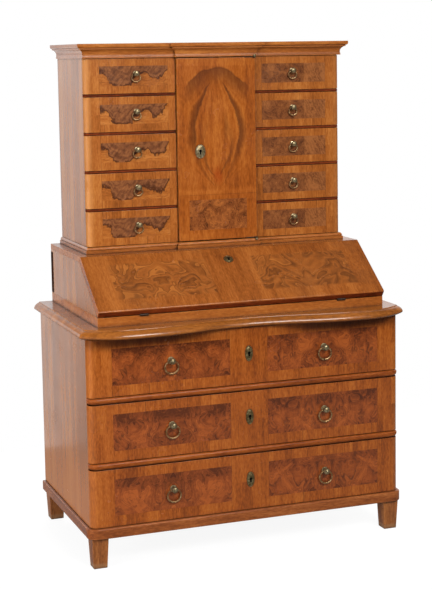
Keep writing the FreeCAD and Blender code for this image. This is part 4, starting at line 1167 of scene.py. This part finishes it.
def add_moulding(name, profile, node):
    """A section run round the cabinet, mitred at the corners, with its grain along each length."""
    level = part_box(node)[0].z
    path = moulding_path()
    outward = []
    for (x0, y0), (x1, y1) in zip(path, path[1:]):
        length = hypot(x1 - x0, y1 - y0)
        outward.append(((y1 - y0) / length, -(x1 - x0) / length))
    loops = []
    for index, (x, y) in enumerate(path):
        before, after = outward[max(index - 1, 0)], outward[min(index, len(outward) - 1)]
        shift = before if before == after else (before[0] + after[0], before[1] + after[1])
        loops.append([(x + shift[0] * out, y + shift[1] * out, level + up) for out, up in profile])
    mesh = loops_mesh(name, loops)
    for face in mesh.polygons:
        xs, ys, _ = zip(*(mesh.vertices[corner].co for corner in face.vertices))
        face.material_index = 1 if max(ys) - min(ys) > max(xs) - min(xs) else 0
    add_piece(name, mesh, [trim_level, trim_deep], "carcase", "case_wood", [node], crease=MITRE_CREASE)


def dress(node, material, arris=0.0):
    """Give a CAD node a material, and its arrises a little rounding."""
    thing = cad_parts[node]
    thing.data.materials.clear()
    thing.data.materials.append(material)
    if arris:
        weld = thing.modifiers.new("weld", "WELD")
        weld.merge_threshold = 1e-5
        soften(thing, arris)


PLATE_PROUD = 0.0003
DOOR_KEY = (-0.064, 1.347)
PIVOT = (0.141, -0.016)
PIVOT_PLATE = Sizes(thick=0.0025, long=0.040, deep=0.016, eye=0.004)
# Turned tips of the pivots, as (radius, out), and how far they sink into the door and stand forward
PIVOT_TIP = [(0.0042, 0.0), (0.0046, 0.0008), (0.0034, 0.0016), (0.0050, 0.0034), (0.0056, 0.0060),
             (0.0048, 0.0086), (0.0026, 0.0104), (POINT, 0.0109)]
TIP_SINK = 0.0010
TIP_FORWARD = 0.0015


def add_door():
    low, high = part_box("door_panel")
    inset = Vector((0, 0, PLATE_PROUD))
    mesh = boards_mesh("door_board", [(low + inset, high - inset)])
    mesh.update()
    paint(mesh, lambda normal: 0 if normal.y < -FACING else 2 if normal.y > FACING else 1)
    woods = [door_veneer(), door_edges, russet_upright]
    add_piece("door_board", mesh, woods, "door", "front_veneer", ["door_panel"], DOOR_ARRIS, 3)
    key_x, key_z = DOOR_KEY
    place = Matrix.Translation((key_x, low.y, key_z))
    add_escutcheon("door_key_plate", DOOR_PLATE, place, "door", brass, ["door_fittings"])
    add_lock("door_lock", key_x, high.y, key_z, "door")
    near, inner, eye = low.y, high.x - PIVOT_PLATE.long, PIVOT_PLATE.eye
    far = near + PIVOT_PLATE.deep
    plan = [(inner, far), (inner, near), (PIVOT[0] - eye, near)]
    plan += arc(PIVOT, eye, 180, 360, 10) + [(high.x, near), (high.x, far)]
    thick = PIVOT_PLATE.thick
    for name, level in (("lower", low.z), ("upper", high.z - thick)):
        mesh = upright_mesh(f"door_pivot_{name}", plan, (level, level + thick))
        add_piece(f"door_pivot_{name}", mesh, [iron], "door", "brass", arris=KEEN_ARRIS)
    upright = Matrix.Rotation(radians(-90), 4, "X")
    ends = (("upper", high.z - TIP_SINK, upright), ("lower", low.z + TIP_SINK, upright.inverted()))
    for name, z, turn in ends:
        mesh = lathe_mesh(f"pivot_tip_{name}", PIVOT_TIP, (0, 0, 0), 24)
        mesh.transform(Matrix.Translation((PIVOT[0], PIVOT[1] - TIP_FORWARD, z)) @ turn)
        add_piece(f"pivot_tip_{name}", mesh, [brass], "carcase", "hinge_iron")


FALL_SLOPE = radians(36)
HINGE_AXIS = Vector((0.0, -0.2575, 0.8335))
FALL_FOOT = 0.0005
FALL_END = 0.2653
FALL_INNER = 0.00125
FALL_FACE = 0.025
FALL_ROUND = 0.005
FALL_KEY_DROP = 0.056
HINGE_X = 0.357
HINGE_HALF = 0.0155
HINGE_ROOM = 0.0055
HINGE_HEEL = HINGE_ROOM * 0.72
# Near-black strips at the desk's rear edges, painted shade: width, and how far they stand out, sink in, start
# up and stop short
STRIP = Sizes(wide=0.030, proud=0.0005, let_in=0.002, rise=0.002, drop=0.008)


def on_fall(x, along, out):
    """A point of the closed fall: along the slope from the hinge axis, and out from it."""
    slope = Vector((0.0, cos(FALL_SLOPE), sin(FALL_SLOPE)))
    normal = Vector((0.0, -sin(FALL_SLOPE), cos(FALL_SLOPE)))
    return HINGE_AXIS + Vector((x, 0.0, 0.0)) + slope * along + normal * out


def add_fall():
    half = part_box("fall_front")[1].x
    stations = [(-half, False)]
    for hinge in (-HINGE_X, HINGE_X):
        left, right = hinge - HINGE_HALF, hinge + HINGE_HALF
        stations += [(left, False), (left, True), (right, True), (right, False)]
    stations.append((half, False))
    loops = []
    for x, notched in stations:
        heel = (HINGE_HEEL, HINGE_HEEL) if notched else (FALL_FOOT, FALL_INNER)
        section = [(FALL_END, FALL_INNER), (FALL_END, FALL_FACE)]
        section += arc((FALL_FOOT + FALL_ROUND, FALL_FACE - FALL_ROUND), FALL_ROUND, 90, 180, 6)
        section += [(FALL_FOOT, HINGE_ROOM), heel, (HINGE_ROOM, FALL_INNER)]
        loops.append([on_fall(x, along, out) for along, out in section])
    mesh = loops_mesh("fall_board", loops)
    up_slope = on_fall(0, 1, 0) - on_fall(0, 0, 0)
    outward = on_fall(0, 0, 1) - on_fall(0, 0, 0)

    def wood(normal):
        if abs(normal.x) > FACING:
            return 3
        return 0 if normal.dot(outward) > 0.2 else 2 if normal.dot(outward) < -FACING else 1

    lay_out(mesh, lambda co: (co.x, (co - HINGE_AXIS).dot(up_slope)))
    paint(mesh, wood)
    # The fall's end faces take the dark edge wood, partly painted shade on the foot
    woods = [fall_veneer(FALL_END), edge_and_shade_wood, russet_level, russet_deep]
    add_piece("fall_board", mesh, woods, "fall", "front_veneer", ["fall_front"], BOLD_ARRIS)
    dress("fall_fittings", iron)
    place = Matrix.Translation(on_fall(0, FALL_END - FALL_KEY_DROP, FALL_FACE))
    place = place @ Matrix.Rotation(FALL_SLOPE - pi / 2, 4, "X")
    add_escutcheon("fall_key_plate", FALL_PLATE, place, "fall", plate_brass)


def add_rear_gap_shade():
    """Near-black strips down the rear edges of the desk's sides, painted shade for the gaps there."""
    low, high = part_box("desk_sides")
    front, bottom, top = high.y - STRIP.wide, low.z + STRIP.rise, high.z - STRIP.drop
    boxes = []
    for _, sign in SIDES:
        left, right = sorted((sign * (high.x - STRIP.let_in), sign * (high.x + STRIP.proud)))
        boxes.append(((left, front, bottom), (right, high.y, top)))
    add_boards("desk_rear_gap_shade", boxes, gap_shade, arris=KEEN_ARRIS)


DRESSED = {
    faded_sides: (BROAD_ARRIS, "commode_sides", "cabinet_sides", "desk_sides"),
    foot_wood(): (BOLD_ARRIS, "feet"),
    golden_level: (PLAIN_ARRIS, "desk_base_frame", "desk_top", "cabinet_boards"),
    # The dividers are darkened as painted shade between the small drawers
    edge_and_shade_wood: (PLAIN_ARRIS, "drawer_dividers"),
    russet_deep: (FINE_ARRIS, "writing_floor"),
    back_planks: (FINE_ARRIS, "back_boards"),
    pine_upright: (FINE_ARRIS, "cabinet_partitions"),
    pine: (FINE_ARRIS, "drawer_runners", *[f"{level}_drawer_box" for level in LEVELS]),
    pine_level: (FINE_ARRIS, "commode_bottom", "pigeonholes", "door_shelf"),
    iron: (0.0, "hinge_fixings"),
}

add_commode_top()
add_rails()
add_plinth()
for level in LEVELS:
    add_large_drawer(level)
for side, sign in SIDES:
    for row in range(1, SMALL_ROWS + 1):
        add_small_drawer(side, sign, row)
add_moulding("cornice_moulding", CORNICE, "cornice")
add_moulding("base_moulding", CABINET_BASE, "cabinet_base_moulding")
add_door()
add_fall()
add_rear_gap_shade()
for material, (arris, *nodes) in DRESSED.items():
    for node in nodes:
        dress(node, material, arris)


# Floor, light and camera

FLOOR_SPAN = ((-2.4, -3.0), (2.4, 1.3))
FLOOR_GREY = (0.12, 0.15)
# Glow of the floor where it is seen, and where it is mirrored
FLOOR_GLOW = 0.91
FLOOR_MIRRORED = 0.15


def add_floor():
    """A white floor that keeps a faint shadow: grey paper with enough glow to match the backdrop."""
    (left, front), (right, rear) = FLOOR_SPAN
    mesh = bpy.data.meshes.new("floor")
    corners = [(left, front, 0), (right, front, 0), (right, rear, 0), (left, rear, 0)]
    mesh.from_pydata(corners, [], [(0, 1, 2, 3)])
    floor = bpy.data.objects.new("floor", mesh)
    bpy.context.collection.objects.link(floor)
    paper = Surface("pale_floor")
    mottle = paper.place.noise(3.0, 2)
    colour = mottle.ramp([(place, (grey, grey, grey, 1.0)) for place, grey in enumerate(FLOOR_GREY)])
    paper.finish(colour, 0.95, Specular_IOR_Level=0.0, Emission_Color=WHITE)
    glow = most(paper.ray("Is Camera Ray") * FLOOR_GLOW, paper.mirrored() * FLOOR_MIRRORED)
    paper.put(paper.shader.inputs["Emission Strength"], glow)
    mesh.materials.append(paper.material)


class Sky(Surface):
    """The world under construction, with the same calls for its nodes."""

    def __init__(self, name):
        self.world = bpy.data.worlds.new(name)
        self.open(self.world, "Background")
        self.place = self.add("ShaderNodeTexCoord", "Generated", {})


# Strength of the light from below and above, and of the room in front as it is mirrored
AMBIENT = (0.12, 0.42)
ROOM = 0.04
# Edge of the white paper, as slopes sideways and upwards of the direction it lies in
PAPER_FOOT = -0.30
PAPER_SIDE = 0.243
PAPER_SLANT = 4.7
PAPER_TOP = -0.02


def add_world():
    """White paper behind, seen and mirrored, a dim room in front, and soft light mostly from above."""
    sky = Sky("studio")
    x, y, z = sky.place.split()
    behind = most(y, 0.05)
    aside = abs(x) / behind - PAPER_SIDE
    foot = (most(aside, 0.0) * PAPER_SLANT + PAPER_FOOT).math("MINIMUM", PAPER_TOP)
    paper = y.smooth(0.25, 0.75) * (z / behind - foot).smooth(-0.02, 0.02)
    strength = sky.add("ShaderNodeMix", 0, {0: sky.mirrored(), 2: z.smooth(-0.3, 0.4, *AMBIENT),
                                            3: paper.remap(0.0, 1.0, ROOM, 1.0)})
    sky.put(sky.shader.inputs["Strength"], most(strength, sky.ray("Is Camera Ray")))
    sky.put(sky.shader.inputs["Color"], WHITE)
    bpy.context.scene.world = sky.world


LEFT_LAMP = dict(place=(-3.6, -1.4, 0.9), target=(-0.5, 0.0, 0.8), size=(3.0, 1.6))
LAMPS = {
    "key": dict(place=(0.8, -4.6, 3.8), target=(0.0, -0.2, 0.8), size=(2.6, 1.6), power=205.0),
    "front": dict(place=(-1.0, -4.3, 2.2), target=(0.0, -0.3, 0.8), size=(0.4, 0.4), power=9.0),
    "left": dict(LEFT_LAMP, power=135.0, gleams=False),
    "left_gleam": dict(LEFT_LAMP, power=22.0, lights=False),
    "right": dict(place=(4.0, 1.2, 1.6), target=(0.4, 0.1, 0.8), size=(2.0, 1.6), power=66.0, gleams=False),
    "rear": dict(place=(0.8, 4.5, 3.5), target=(0.2, 0.3, 0.9), size=(2.0, 1.6), power=100.0, gleams=False),
}


def add_light(name, place, target, size, power, lights=True, gleams=True):
    """An area lamp; it may light without highlights, or gleam without lighting."""
    data = bpy.data.lights.new(name, "AREA")
    data.shape = "RECTANGLE"
    data.size, data.size_y = size
    data.energy = power
    light = bpy.data.objects.new(name, data)
    light.location = place
    light.rotation_euler = (Vector(target) - Vector(place)).to_track_quat("-Z", "Y").to_euler()
    light.visible_camera = False
    light.visible_diffuse = lights
    light.visible_glossy = gleams
    bpy.context.collection.objects.link(light)


def add_camera():
    data = bpy.data.cameras.new("camera")
    width, height = IMAGE_SIZE
    data.lens = FOCAL_PIXELS / height * data.sensor_width
    data.shift_x = (width / 2 - MIDDLE_PIXEL[0]) / height
    data.shift_y = (MIDDLE_PIXEL[1] - height / 2) / height
    data.clip_end = CAMERA_FAR
    camera = bpy.data.objects.new("camera", data)
    turns = ((CAMERA_TURN, "Z"), (pi / 2 - CAMERA_DOWN, "X"), (CAMERA_ROLL, "Z"))
    camera.matrix_world = Matrix.Translation(CAMERA_PLACE)
    for angle, axis in turns:
        camera.matrix_world @= Matrix.Rotation(angle, 4, axis)
    bpy.context.collection.objects.link(camera)
    bpy.context.scene.camera = camera


add_floor()
add_world()
for name, lamp in LAMPS.items():
    add_light(name, **lamp)
add_camera()
bpy.context.scene.view_settings.view_transform = "Standard"
